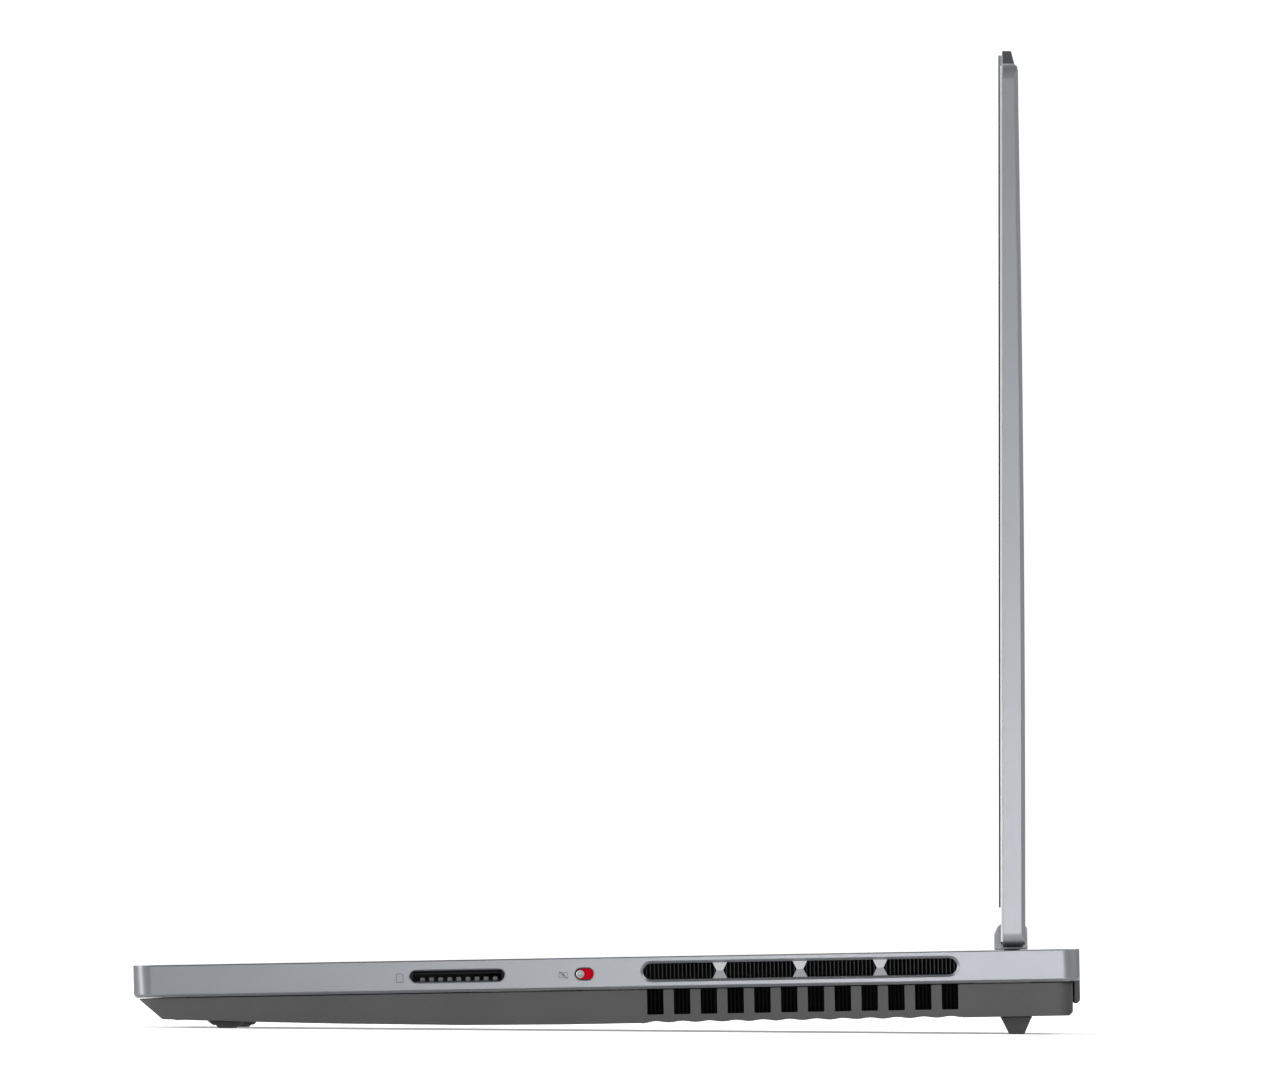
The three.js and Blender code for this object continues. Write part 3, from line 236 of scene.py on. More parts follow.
def painted_edge_shade(graph):
    """Painted shade: a darker line along the top of the deck's two side walls."""
    height, margin = 0.32 * MM, 0.2 * MM
    up = Vector((0, -math.sin(RAKE), math.cos(RAKE)))
    near_top = plane_mask(graph, up, up.dot(DECK_ORIGIN) - height, SOFT_EDGE)
    below_lid = plane_mask(graph, -up, -up.dot(DECK_ORIGIN) - margin, SOFT_EDGE)
    outside = (HALF_WIDTH - 0.07) * MM
    right = plane_mask(graph, (1, 0, 0), outside, HARD_EDGE / 2)
    left = plane_mask(graph, (-1, 0, 0), outside, HARD_EDGE / 2)
    on_deck = combine(graph, "MULTIPLY", near_top, below_lid)
    return combine(graph, "MULTIPLY", on_deck, combine(graph, "MAXIMUM", right, left))


def painted_bump_shade(graph):
    """Painted shade: the camera bump above the lid's top edge, made darker."""
    return plane_mask(graph, (0, 0, 1), HINGE.z + BUMP_FOOT, SOFT_EDGE)


def case_metal():
    """Blasted aluminium, with painted shade: a darker line along the top of the deck's side walls, a darker camera
    bump, and a dark, not metallic rear wall below its seam."""
    graph = grained_graph("case_metal", ALUMINIUM, 0.40, 1.0, 0.22 * MM, 0.004 * MM, 0.02, 0.035)
    below = plane_mask(graph, (0, 0, -1), -LIP_SEAM, HARD_EDGE)
    behind = plane_mask(graph, (0, 1, 0), LIP_BACK, HARD_EDGE)
    lip_shade = combine(graph, "MULTIPLY", below, behind)
    # Painted shade along the top of the deck's side walls.
    paint_over(graph, painted_edge_shade(graph), toned(ALUMINIUM, 0.3))
    # Painted shade on the camera bump.
    paint_over(graph, painted_bump_shade(graph), toned(ALUMINIUM, 0.45))
    # Painted shade on the rear wall below its seam.
    paint_over(graph, lip_shade, LIP_SHADE_COLOR)
    graph.feed(graph.spread(lip_shade, 1, 0, (0, 1)), "Metallic")
    return graph.material


def dark_cover():
    """Grained dark plastic, with painted shade darkening it round its rear corners."""
    graph = grained_graph("dark_cover", (0.1, 0.1, 0.101), 0.58, 0, 0.28 * MM, 0.02 * MM, 0.05)
    # Painted shade round the rear corners.
    corner = plane_mask(graph, (0, 1, 0), CORNER_START, 2.4 * MM)
    paint_over(graph, corner, (0.035, 0.035, 0.036))
    return graph.material


def brushed(name, color, roughness, along, metallic=1.0, **values):
    """Metal drawn or milled along one direction, with long fine lines."""
    graph = Graph(name)
    lines = graph.noise(0.25 * MM, 2, graph.stretch(along))
    shade = graph.blend(graph.spread(lines, 0, 1), toned(color, 0.88), toned(color, 1.1))
    graph.feed(shade, "Base Color")
    graph.feed(graph.spread(lines, roughness - 0.06, roughness + 0.08), "Roughness")
    graph.bump(lines, 0.006 * MM)
    graph.set(Metallic=metallic, **values)
    return graph.material


def circuit_board():
    """Green solder mask with fine, lighter copper tracks under it."""
    graph = Graph("circuit_board")
    tracks = graph.nodes.new("ShaderNodeTexVoronoi")
    tracks.feature = "DISTANCE_TO_EDGE"
    tracks.distance = "EUCLIDEAN"
    tracks.inputs["Scale"].default_value = 1 / (2.5 * MM)
    graph.links.new(graph.where, tracks.inputs["Vector"])
    line = graph.spread(tracks.outputs["Distance"], 1, 0, (0.02, 0.08))
    graph.feed(graph.blend(line, (0.006, 0.035, 0.02), (0.03, 0.12, 0.06)), "Base Color")
    graph.feed(graph.spread(graph.noise(2 * MM), 0.3, 0.5), "Roughness")
    graph.bump(line, 0.03 * MM)
    return graph.material


def screen_glass():
    """A dark anti-glare screen: a fine sparkle of texture over a nearly black panel."""
    graph = Graph("screen_glass")
    sparkle = graph.noise(0.12 * MM, 1)
    tone = graph.spread(graph.noise(60 * MM), 0, 1)
    shade = graph.blend(tone, (0.006, 0.007, 0.010), (0.010, 0.011, 0.014))
    graph.feed(shade, "Base Color")
    graph.feed(graph.spread(sparkle, 0.22, 0.34), "Roughness")
    graph.bump(sparkle, 0.003 * MM)
    return graph.material


def glowing(name, color, strength, roughness=0.4, specular=0.5):
    """A plastic that gives off light, with soft patches of tone: a real lamp on the status lights, painted light
    on the switch's red field.
    """
    graph = Graph(name)
    shade = graph.blend(graph.spread(graph.noise(0.4 * MM), 0, 1), toned(color, 0.8), color)
    graph.feed(shade, "Base Color")
    graph.feed(shade, "Emission Color")
    graph.set(Emission_Strength=strength, Roughness=roughness, Specular_IOR_Level=specular)
    return graph.material


# The finish of each of the record's slots. A grained look is given by its colour, roughness,
# metal share, grain size and depth, and unevenness of tone. A brushed look is given by its
# colour, roughness and the scale of its lines along each axis: they run where it is low.
LOOKS = {
    "case_metal": case_metal(),
    "dark_cover": dark_cover(),
    "foot_rubber": grained("foot_rubber", (0.2, 0.2, 0.202), 0.8, 0, 0.5 * MM, 0.03 * MM, 0.08),
    "sheet_steel": brushed("sheet_steel", (0.35, 0.36, 0.37), 0.35, (0.05, 1, 1)),
    "touchpad_glass": grained("touchpad_glass", (0.33, 0.34, 0.36), 0.36, 0.6,
                              0.15 * MM, 0.001 * MM, 0.02),
    "button_metal": grained("button_metal", (0.42, 0.43, 0.45), 0.32, 1.0, 0.18 * MM,
                            0.003 * MM, 0.03),
    "circuit_board": circuit_board(),
    "battery_wrap": grained("battery_wrap", (0.02, 0.02, 0.022), 0.42, 0, 3 * MM, 0.05 * MM, 0.2),
    "black_plastic": grained("black_plastic", (0.012, 0.012, 0.013), 0.5, 0, 0.3 * MM,
                             0.015 * MM, 0.15),
    "fan_plastic": grained("fan_plastic", (0.014, 0.014, 0.015), 0.38, 0, 0.6 * MM,
                           0.006 * MM, 0.12),
    # Painted shade: the fins are nearly black to stand for the deep shadow inside the vents.
    "fin_metal": brushed("fin_metal", (0.003, 0.003, 0.0033), 0.6, (1, 1, 0.05), 0.0,
                         Specular_IOR_Level=0.1),
    "pipe_copper": brushed("pipe_copper", (0.62, 0.27, 0.14), 0.3, (0.1, 1, 1)),
    "socket_metal": brushed("socket_metal", (0.3, 0.3, 0.31), 0.32, (1, 0.1, 1)),
    # Painted light: the switch's red field glows though it holds no lamp.
    "switch_plastic": glowing("switch_plastic", (0.8, 0.003, 0.022), 0.32, 0.8, 0.05),
    "slider_metal": grained("slider_metal", (0.5, 0.505, 0.52), 0.33, 0.8, 0.12 * MM,
                            0.002 * MM, 0.03),
    "hinge_cap_paint": grained("hinge_cap_paint", (0.42, 0.435, 0.46), 0.42, 0.8,
                               0.25 * MM, 0.005 * MM, 0.03),
    "bezel_plastic": grained("bezel_plastic", (0.014, 0.014, 0.015), 0.5, 0,
                             0.25 * MM, 0.012 * MM, 0.1),
    "gasket_rubber": grained("gasket_rubber", (0.012, 0.012, 0.013), 0.8, 0, 0.4 * MM,
                             0.01 * MM, 0.1, Specular_IOR_Level=0.2),
    "screen_glass": screen_glass(),
    "camera_glass": grained("camera_glass", (0.006, 0.007, 0.012), 0.08, 0, 0.5 * MM,
                            0.0005 * MM, 0.2, 0.02, Coat_Weight=1.0),
    "key_plastic": grained("key_plastic", (0.034, 0.035, 0.038), 0.46, 0, 0.2 * MM,
                           0.006 * MM, 0.06),
}

# Looks of small parts that have no slot of their own.
LEGEND = grained("key_legend", (0.85, 0.86, 0.87), 0.5, 0, 0.3 * MM, 0.002 * MM, 0.04)
# Painted highlight: a much lighter copy of the facet metal for the upper vent facets, which face the light.
PAINTED_LIT_FACETS = grained("bright_metal", (0.8, 0.81, 0.83), 0.36, 1.0, 0.2 * MM, 0.003 * MM, 0.03)
FACET_METAL = grained("facet_metal", (0.37, 0.38, 0.4), 0.36, 1.0, 0.2 * MM, 0.003 * MM, 0.03)
# Painted highlight: the pale strip for the lid rim's rounded front edge.
RIM_HIGHLIGHT_PAINT = grained("pale_trim", (0.78, 0.79, 0.8), 0.4, 0.3, 0.3 * MM, 0.002 * MM, 0.03)
ICON_INK = grained("icon_ink", (0.16, 0.165, 0.175), 0.5, 0.3, 0.2 * MM, 0.001 * MM, 0.08)
# Painted light: a lighter copy of the fins' metal for their lit upper ends.
PAINTED_FIN_LIGHT = brushed("fin_tip", (0.024, 0.024, 0.026), 0.5, (1, 1, 0.05), 0.3)
DULL_STEEL = brushed("dull_steel", (0.16, 0.16, 0.165), 0.45, (1, 0.2, 1), 0.6)
GOLD = brushed("contact_gold", (0.78, 0.55, 0.22), 0.28, (0.1, 1, 1))
SCREW_STEEL = brushed("screw_steel", (0.05, 0.05, 0.052), 0.35, (1, 0.2, 1))
STATUS_LIGHT = glowing("status_light", (0.85, 0.92, 1.0), 0.6)
DARK_BASE = grained("key_base", (0.012, 0.012, 0.013), 0.6, 0, 0.4 * MM, 0.01 * MM, 0.1)

# ---- Mesh tools ----------------------------------------------------------------


def block(bm, x0, x1, y0, y1, z0, z1):
    prism(bm, [(x0, y0), (x1, y0), (x1, y1), (x0, y1)], "z", z0, z1)


PLACES = {
    "x": lambda p, q, s: (s, p, q),
    "y": lambda p, q, s: (p, s, q),
    "z": lambda p, q, s: (p, q, s),
}


def prism(bm, outline, axis, start, end):
    """Sweeps an outline along an axis. It is drawn in the other two axes, in their order."""
    put = PLACES[axis]
    loft(bm, [[put(p, q, s) for p, q in outline] for s in (start, end)])


def loft(bm, rings):
    """Skins rings of points, one after another, and closes both ends."""
    rows = [[bm.verts.new(point) for point in ring] for ring in rings]
    count = len(rows[0])
    for low, high in zip(rows, rows[1:]):
        for i in range(count):
            j = (i + 1) % count
            bm.faces.new((low[i], low[j], high[j], high[i]))
    bm.faces.new(rows[0])
    bm.faces.new(rows[-1])


def circle(radius, steps, turn=0.0):
    angles = [2 * math.pi * i / steps + turn for i in range(steps)]
    return [(radius * math.cos(a), radius * math.sin(a)) for a in angles]


def lathe(bm, profile, centre, axis, steps=32):
    """Turns a profile of (radius, distance along the axis) points around the axis."""
    put = PLACES[axis]
    rings = []
    for radius, along in profile:
        ring = [Vector(put(p, q, along)) + Vector(centre) for p, q in circle(radius, steps)]
        rings.append(ring)
    loft(bm, rings)


def rounded(x0, x1, y0, y1, radius, steps=4):
    """The outline of a rectangle with round corners."""
    points = []
    corners = ((x1, y1, 0), (x0, y1, 1), (x0, y0, 2), (x1, y0, 3))
    for x, y, quarter in corners:
        cx = x - radius if x == x1 else x + radius
        cy = y - radius if y == y1 else y + radius
        for i in range(steps + 1):
            a = math.pi / 2 * (quarter + i / steps)
            points.append((cx + radius * math.cos(a), cy + radius * math.sin(a)))
    return points


def ring_prism(bm, outer, inner, axis, start, end):
    """A frame between two outlines with the same number of points."""
    put = PLACES[axis]
    loops = [
        [put(p, q, start) for p, q in outer],
        [put(p, q, end) for p, q in outer],
        [put(p, q, end) for p, q in inner],
        [put(p, q, start) for p, q in inner],
    ]
    rows = [[bm.verts.new(point) for point in loop] for loop in loops]
    count = len(outer)
    for k in range(4):
        low, high = rows[k], rows[(k + 1) % 4]
        for i in range(count):
            j = (i + 1) % count
            bm.faces.new((low[i], low[j], high[j], high[i]))


def soften(piece, width, segments):
    """Rounds a piece's sharp edges and keeps its flat faces flat."""
    edges = piece.modifiers.new("edges", "BEVEL")
    edges.width = width * MM
    edges.segments = segments
    edges.limit_method = "ANGLE"
    edges.angle_limit = math.radians(30)
    edges.use_clamp_overlap = False
    edges.face_strength_mode = "FSTR_ALL"
    normals = piece.modifiers.new("normals", "WEIGHTED_NORMAL")
    normals.keep_sharp = False
    normals.use_face_influence = True


def add_piece(name, bm, matrix, body, look, slot=None, smooth=40):
    """Makes an object of a drawing in millimetres and lets it ride on its body.

    It takes either a look of its own or the finish of one of the record's slots."""
    bmesh.ops.recalc_face_normals(bm, faces=bm.faces)
    limit = math.radians(smooth)
    for bm_edge in bm.edges:
        bm_edge.smooth = len(bm_edge.link_faces) == 2 and bm_edge.calc_face_angle(0) < limit
    for face in bm.faces:
        face.smooth = True
    mesh = bpy.data.meshes.new(name)
    bm.to_mesh(mesh)
    bm.free()
    mesh.transform(matrix)
    mesh.materials.append(look if look else LOOKS[slot])
    piece = bpy.data.objects.new(name, mesh)
    bpy.context.scene.collection.objects.link(piece)
    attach(piece, body)
    return piece


WELD_DISTANCE = 0.002


def refine(node, edge, segments):
    """Gives a CAD node fine round edges and its finish."""
    piece = NODES[node]
    weld = piece.modifiers.new("weld", "WELD")
    weld.merge_threshold = WELD_DISTANCE * MM
    if edge:
        soften(piece, edge, segments)
    for slot in piece.material_slots:
        slot.material = LOOKS[SLOTS[node]]


# ---- Kept CAD nodes ---------------------------------------------------------------

# The width of a node's round edges, and how many faces make one up.
EDGES = {
    "top_case": (0.1, 2),
    "port_panel": (0.1, 2),
    "bottom_cover": (0.2, 3),
    "lid_back_cover": (0.15, 3),
    "display_bezel": (0.08, 2),
    "bezel_gasket": (0.08, 2),
    "display_panel": (0.1, 2),
    "hinge_cap_right": (0.3, 3),
    "hinge_cap_left": (0.3, 3),
    "rear_foot": (0.25, 3),
    "front_foot_right": (0.2, 3),
    "front_foot_left": (0.2, 3),
    "touchpad": (0.12, 3),
    "power_button": (0.15, 3),
}
PLAIN_EDGE = (0.1, 1)
NO_EDGE = (0, 0)
REPLACED = {
    "side_heat_sink_right",
    "side_heat_sink_left",
    "rear_heat_sink_right",
    "rear_heat_sink_left",
    "shutter_slider",
}


def refine_nodes():
    for node in sorted(NODES):
        if node not in REPLACED and not node.startswith("key"):
            refine(node, *EDGES.get(node, PLAIN_EDGE))
    refine("keyboard_plate", *NO_EDGE)
    NODES["keyboard_plate"].material_slots[0].material = DARK_BASE


refine_nodes()

# ---- Keyboard -----------------------------------------------------------------------

KEY_PITCH = 18.2
KEY_INSET = 1.0
KEY_TOP = -0.1
KEY_BOTTOM = -1.3
KEYS_FRONT = 104
KEYS_LEFT = -169.2
MAIN_UNITS = 15
FUNCTION_PITCH = 13
PAD_PITCH = 15.6
PAD_LEFT = KEYS_LEFT + MAIN_UNITS * KEY_PITCH + 3
PAD_COLUMNS = 4
FUNCTION_ROW = 5
LETTER_SIZE = 4.0
WORD_SIZE = 2.5
SMALL_SIZE = 2.2
PAIR_SIZE = 3.4
LONG_WORD = 5

PAIRS = [f"{upper}\n{lower}" for upper, lower in zip("~!@#$%^&*()_+", "`1234567890-=")]
FUNCTION_WORDS = ["esc", *(f"F{i}" for i in range(1, 13)), "ins", "del"]

# Each row: its place from the front, the unit it starts at, key widths and legends.
KEY_ROWS = {
    "keys_function_row": (5, 0, [1] * 15, FUNCTION_WORDS),
    "keys_number_row": (4, 0, [1] * 13 + [2], [*PAIRS, "backspace"]),
    "keys_upper_row": (3, 0, [1.5] + [1] * 12 + [1.5],
                       ["tab", *"QWERTYUIOP", "{\n[", "}\n]", "|\n\\"]),
    "keys_home_row": (2, 0, [1.75] + [1] * 11 + [2.25],
                      ["caps", *"ASDFGHJKL", ":\n;", "\"\n'", "enter"]),
    "keys_lower_row": (1, 0, [2.25] + [1] * 10 + [1.75],
                       ["shift", *"ZXCVBNM", "<\n,", ">\n.", "?\n/", "shift"]),
    "keys_bottom_row_left": (0, 0, [1.25, 1, 1, 1.25], ["ctrl", "fn", "sys", "alt"]),
    "key_space": (0, 4.5, [5.5], [""]),
    "keys_bottom_row_right": (0, 10, [1, 1], ["alt", "ctrl"]),
    "key_arrow_up": (1, 14, [1], ["up"]),
    "key_arrow_left": (0, 12, [1], ["left"]),
    "key_arrow_down": (0, 13, [1], ["down"]),
    "key_arrow_right": (0, 14, [1], ["right"]),
}
ARROW_TURNS = {"right": 0, "up": 90, "left": 180, "down": 270}

# Number pad: column, columns wide, row, rows tall and legend.
PAD_KEYS = [
    *((column, 1, 5, 1, word) for column, word in enumerate(("home", "end", "pgup", "pgdn"))),
    *((column, 1, 4, 1, word) for column, word in enumerate(("num", "/", "*", "-"))),
    *((i % 3, 1, 1 + i // 3, 1, str(i + 1)) for i in range(9)),
    (3, 1, 2, 2, "+"),
    (3, 1, 0, 2, "enter"),
    (0, 2, 0, 1, "0"),
    (2, 1, 0, 1, "."),
]


def row_span(row):
    y0 = KEYS_FRONT + row * KEY_PITCH
    return y0, y0 + (FUNCTION_PITCH if row == FUNCTION_ROW else KEY_PITCH)


# A cap's rings from its foot to its sunk top: how far each is set in, and its height.
CAP_RINGS = ((0.0, KEY_BOTTOM), (0.02, -0.75), (0.16, -0.34), (0.34, -0.17), (0.6, KEY_TOP),
             (1.3, -0.13), (2.3, -0.15))


def key_cap(bm, x0, x1, y0, y1):
    """A low cap with leaning sides, a soft rim and a faintly sunk top."""
    rings = []
    for inset, z in CAP_RINGS:
        side = KEY_INSET + inset
        radius = max(0.35, 1.7 - inset * 0.5)
        outline = rounded(x0 + side, x1 - side, y0 + side, y1 - side, radius)
        rings.append([(x, y, z) for x, y in outline])
    loft(bm, rings)


def make_pen():
    """The text object that every legend is written with, one after another."""
    curve = bpy.data.curves.new("pen", "FONT")
    curve.resolution_u = 2
    curve.extrude = 0.008
    curve.space_line = 0.85
    pen = bpy.data.objects.new("pen", curve)
    bpy.context.scene.collection.objects.link(pen)
    return pen


PEN = make_pen()


def write(bm, text, size, x, y, z):
    """Writes a word with its left end at x and its first line's baseline at y."""
    PEN.data.body = text
    PEN.data.size = size
    graph = bpy.context.evaluated_depsgraph_get()
    mesh = bpy.data.meshes.new_from_object(PEN.evaluated_get(graph))
    mesh.transform(Matrix.Translation((x, y, z)))
    bm.from_mesh(mesh)
    bpy.data.meshes.remove(mesh)


LEGEND_LEFT = 2.4
LEGEND_SINK = 0.045
LEGEND_DEPTH = 0.016
ARROW_RADIUS = 1.5


def write_legend(bm, text, x0, x1, y0, y1):
    """A legend on a key's top: an arrow, a letter, a pair of signs or a word."""
    left = x0 + KEY_INSET + LEGEND_LEFT
    high = y1 - KEY_INSET
    z = KEY_TOP - LEGEND_SINK
    if text in ARROW_TURNS:
        middle = Vector(((x0 + x1) / 2, (y0 + y1) / 2))
        turn = math.radians(ARROW_TURNS[text])
        outline = [(middle.x + p, middle.y + q) for p, q in circle(ARROW_RADIUS, 3, turn)]
        prism(bm, outline, "z", z, z + LEGEND_DEPTH)
    elif len(text) == 1:
        write(bm, text, LETTER_SIZE, left, high - 5.2, z)
    elif "\n" in text:
        write(bm, text, PAIR_SIZE, left, high - 4.6, z)
    elif text:
        size = SMALL_SIZE if len(text) > LONG_WORD else WORD_SIZE
        write(bm, text, size, left, high - 4.4, z)


def keyboard_keys():
    """Every key: the node it belongs to, its sides and its legend."""
    for node, (row, start, widths, legends) in KEY_ROWS.items():
        x = KEYS_LEFT + start * KEY_PITCH
        for units, legend in zip(widths, legends):
            yield node, (x, x + units * KEY_PITCH, *row_span(row)), legend
            x += units * KEY_PITCH
    for column, wide, row, tall, legend in PAD_KEYS:
        x = PAD_LEFT + column * PAD_PITCH
        sides = (x, x + wide * PAD_PITCH, row_span(row)[0], row_span(row + tall - 1)[1])
        yield "keys_number_pad", sides, legend


def make_keys():
    groups = {}
    for node, sides, legend in keyboard_keys():
        groups.setdefault(node, []).append((sides, legend))
    for node, keys in groups.items():
        caps, legends = bmesh.new(), bmesh.new()
        for sides, legend in keys:
            key_cap(caps, *sides)
            write_legend(legends, legend, *sides)
        piece = add_piece(f"{node}_caps", caps, DECK, node, None, "key_plastic", smooth=50)
        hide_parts(node)
        if legends.verts:
            add_piece(f"{node}_legends", legends, DECK, node, LEGEND)
        else:
            legends.free()


GRID_HALF = 0.7
GRID_LOW = -1.4
GRID_HIGH = -0.7


def make_key_grid():
    """The bars between keys that the row bars of the deck don't make."""
    bm = bmesh.new()
    right = KEYS_LEFT + MAIN_UNITS * KEY_PITCH
    half = GRID_HALF
    for node, (x0, x1, y0, y1), _ in keyboard_keys():
        on_pad = node == "keys_number_pad"
        edge = PAD_LEFT + PAD_COLUMNS * PAD_PITCH if on_pad else -KEYS_LEFT
        if x1 < edge - 1 and abs(x1 - right) > 1:
            block(bm, x1 - half, x1 + half, y0 + half, y1 - half, GRID_LOW, GRID_HIGH)
        if on_pad and y0 > KEYS_FRONT + 1:
            block(bm, x0 - half, x1 + half, y0 - half, y0 + half, GRID_LOW, GRID_HIGH)
    add_piece("key_grid", bm, DECK, "base", None, "case_metal")


def make_key_supports():
    """Scissor frames and rubber domes lying flat under the caps."""
    bm = bmesh.new()
    floor, top, margin = -3.1, -2.72, 3.2
    for _, (x0, x1, y0, y1), _ in keyboard_keys():
        x, y = (x0 + x1) / 2, (y0 + y1) / 2
        reach = min(y1 - y0, x1 - x0) / 2 - margin
        outer = rounded(x - reach, x + reach, y - reach, y + reach, 0.8, 2)
        inner = rounded(x - reach + 1, x + reach - 1, y - reach + 1, y + reach - 1, 0.5, 2)
        ring_prism(bm, outer, inner, "z", floor, top)
        lathe(bm, [(1.8, floor), (1.5, floor + 0.2), (0.8, top)], (x, y, 0), "z", 12)
    add_piece("key_supports", bm, DECK, "base", None, "black_plastic")


make_keys()
make_key_grid()
make_key_supports()
bpy.data.objects.remove(PEN)

# ---- Deck -----------------------------------------------------------------------------


def make_power_mark():
    """A lit ring with a stroke through its top, on the power button."""
    bm = bmesh.new()
    y, z, depth = 222, -0.055, 0.02
    steps = 20
    gap = 0.5
    arc = []
    for i in range(steps + 1):
        a = math.pi / 2 + gap + (2 * math.pi - 2 * gap) * i / steps
        arc.append((math.cos(a), math.sin(a)))
    inner, outer = 1.0, 1.25
    for start, end in zip(arc, arc[1:]):
        ends = ((inner, start), (outer, start), (outer, end), (inner, end))
        corners = [(radius * c, y + radius * s) for radius, (c, s) in ends]
        prism(bm, corners, "z", z, z + depth)
    block(bm, -0.12, 0.12, y + 0.5, y + 1.5, z, z + depth)
    bmesh.ops.remove_doubles(bm, verts=bm.verts, dist=0.0005)
    add_piece("power_mark", bm, DECK, "power_button", STATUS_LIGHT)


make_power_mark()

# ---- Side vents, card slot and switch ----------------------------------------------------

VENT_Z = -4.15
VENT_HALF = 2.2
VENT_START = 140.2
VENT_PITCH = 22.05
VENT_LENGTH = 20.25
VENT_COUNT = 4
VENT_SLANT = 1.1
RING_FLOOR = HALF_WIDTH - 0.7
RIDGE = HALF_WIDTH - 0.12
FIN_PITCH = 1.1
FIN_HALF = 0.14
FIN_SPINE = 0.5
SIDE_FINS = (141, 228)
SIDE_FIN_ENDS = (171.2, 177)
SIDE_FIN_HEIGHTS = (-16.3, -1.9)
REAR_FINS = (70, 164)
REAR_FIN_ENDS = (247.6, 258.3)
REAR_FIN_HEIGHTS = (-14.6, -4)


def make_vent_facets(side, sign, half, end, look):
    """Between two vents a waisted rib rises from each end to a ridge at its waist."""
    bm = bmesh.new()
    waist = (VENT_PITCH - VENT_LENGTH) / 2
    foot = waist + VENT_SLANT
    inner = RING_FLOOR - 1.2
    for i in range(1, VENT_COUNT):
        y = VENT_START + i * VENT_PITCH - waist
        rings = []
        for z, reach, x in ((end, foot, RING_FLOOR + 0.08), (VENT_Z, waist, RIDGE)):
            corners = ((inner, -reach), (x, -reach), (x, reach), (inner, reach))
            rings.append([(sign * depth, y + along, z) for depth, along in corners])
        loft(bm, rings)
    add_piece(f"vent_facets_{half}_{side}", bm, DECK, "base", look, smooth=5)


def fin_middles(start, end):
    """Where the fins of a stack stand between its two ends."""
    count = int((end - start - 2 * FIN_HALF) / FIN_PITCH)
    return [start + FIN_HALF + i * FIN_PITCH for i in range(count + 1)]


def make_side_fins(side, sign):
    """A stack of thin upright fins on a base plate, across the air's way to the side."""
    bm = bmesh.new()
    root, tip = (sign * x for x in SIDE_FIN_ENDS)
    spine = root + sign * FIN_SPINE
    low, high = SIDE_FIN_HEIGHTS
    for middle in fin_middles(*SIDE_FINS):
        block(bm, *sorted((spine, tip)), middle - FIN_HALF, middle + FIN_HALF, low, high)
    block(bm, *sorted((root, spine)), *SIDE_FINS, low, high)
    piece = add_piece(f"side_heat_sink_{side}_fins", bm, DECK, "base", None, "fin_metal")
    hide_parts(f"side_heat_sink_{side}")


def make_rear_fins(side, sign):
    """The same kind of stack behind the rear vents."""
    bm = bmesh.new()
    x0, x1 = sorted(sign * x for x in REAR_FINS)
    root, tip = REAR_FIN_ENDS
    low, high = REAR_FIN_HEIGHTS
    for middle in fin_middles(x0, x1):
        block(bm, middle - FIN_HALF, middle + FIN_HALF, root + FIN_SPINE, tip, low, high)
    block(bm, x0, x1, root, root + FIN_SPINE, low, high)
    piece = add_piece(f"rear_heat_sink_{side}_fins", bm, DECK, "base", None, "fin_metal")
    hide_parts(f"rear_heat_sink_{side}")


def make_fin_tips(side, sign):
    """Thin strips on the outer ends of the side fins' upper parts, lighter than the fins: painted light where the
    upper vents are lit.
    """
    bm = bmesh.new()
    low, high, thickness = -6.7, -1.95, 0.06
    start = SIDE_FIN_ENDS[1]
    inner, outer = sorted((sign * start, sign * (start + thickness)))
    for middle in fin_middles(*SIDE_FINS):
        block(bm, inner, outer, middle - FIN_HALF, middle + FIN_HALF, low, high)
    add_piece(f"fin_tips_{side}", bm, DECK, "base", PAINTED_FIN_LIGHT)


# How deep the two symbols are let into the side, and how far they stand proud of it.
INK = (HALF_WIDTH - 0.05, HALF_WIDTH + 0.006)


def make_icon_card():
    """A card with a cut corner, drawn in a thin line in front of its slot."""
    bm = bmesh.new()
    low, high, front, rear = -6.0, -3.5, 72.3, 74.3
    cut, line = 0.55, 0.2
    outer = [(front, low), (rear, low), (rear, high - cut), (rear - cut, high), (front, high)]
    inner = [
        (front + line, low + line),
        (rear - line, low + line),
        (rear - line, high - cut - line / 2),
        (rear - cut - line / 2, high - line),
        (front + line, high - line),
    ]
    ring_prism(bm, outer, inner, "x", *INK)
    add_piece("card_icon", bm, DECK, "base", ICON_INK)


def make_icon_camera():
    """A camera with a stroke across it, drawn in a thin line beside the switch."""
    bm = bmesh.new()
    y, z, line = 118.3, -4.7, 0.18
    half, low, high = 1.3, z - 0.85, z + 0.75
    outer = rounded(y - half, y + half, low, high, 0.35, 3)
    inner = rounded(y - half + line, y + half - line, low + line, high - line, 0.2, 3)
    ring_prism(bm, outer, inner, "x", *INK)
    lens = [(y + p, z - 0.05 + q) for p, q in circle(0.45, 16)]
    lens_inner = [(y + p, z - 0.05 + q) for p, q in circle(0.28, 16)]
    ring_prism(bm, lens, lens_inner, "x", *INK)
    stroke = [(y - 1.2, z + 0.95), (y - 1.05, z + 1.1), (y + 1.2, z - 1.0), (y + 1.05, z - 1.15)]
    prism(bm, stroke, "x", *INK)
    add_piece("camera_icon", bm, DECK, "base", ICON_INK)


SWITCH_Z = -4.5
SWITCH_FLOOR = HALF_WIDTH - 2.25


def make_slider():
    """The shutter's knob: a bright rim around a dished face."""
    y, radius = 122.9, 1.14
    face = HALF_WIDTH - 0.36
    bm = bmesh.new()
    profile = [(radius, SWITCH_FLOOR + 0.05), (radius, face - 0.12), (radius - 0.12, face)]
    dish = ((0.82, 0), (0.66, 0.08), (0.45, 0.2), (0.2, 0.26), (0.02, 0.27))
    profile += [(dish_radius, face - sink) for dish_radius, sink in dish]
    lathe(bm, profile, (0, y, SWITCH_Z), "x", 40)
    piece = add_piece("shutter_knob", bm, DECK, "shutter_slider", None, "slider_metal", smooth=35)
    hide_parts("shutter_slider")


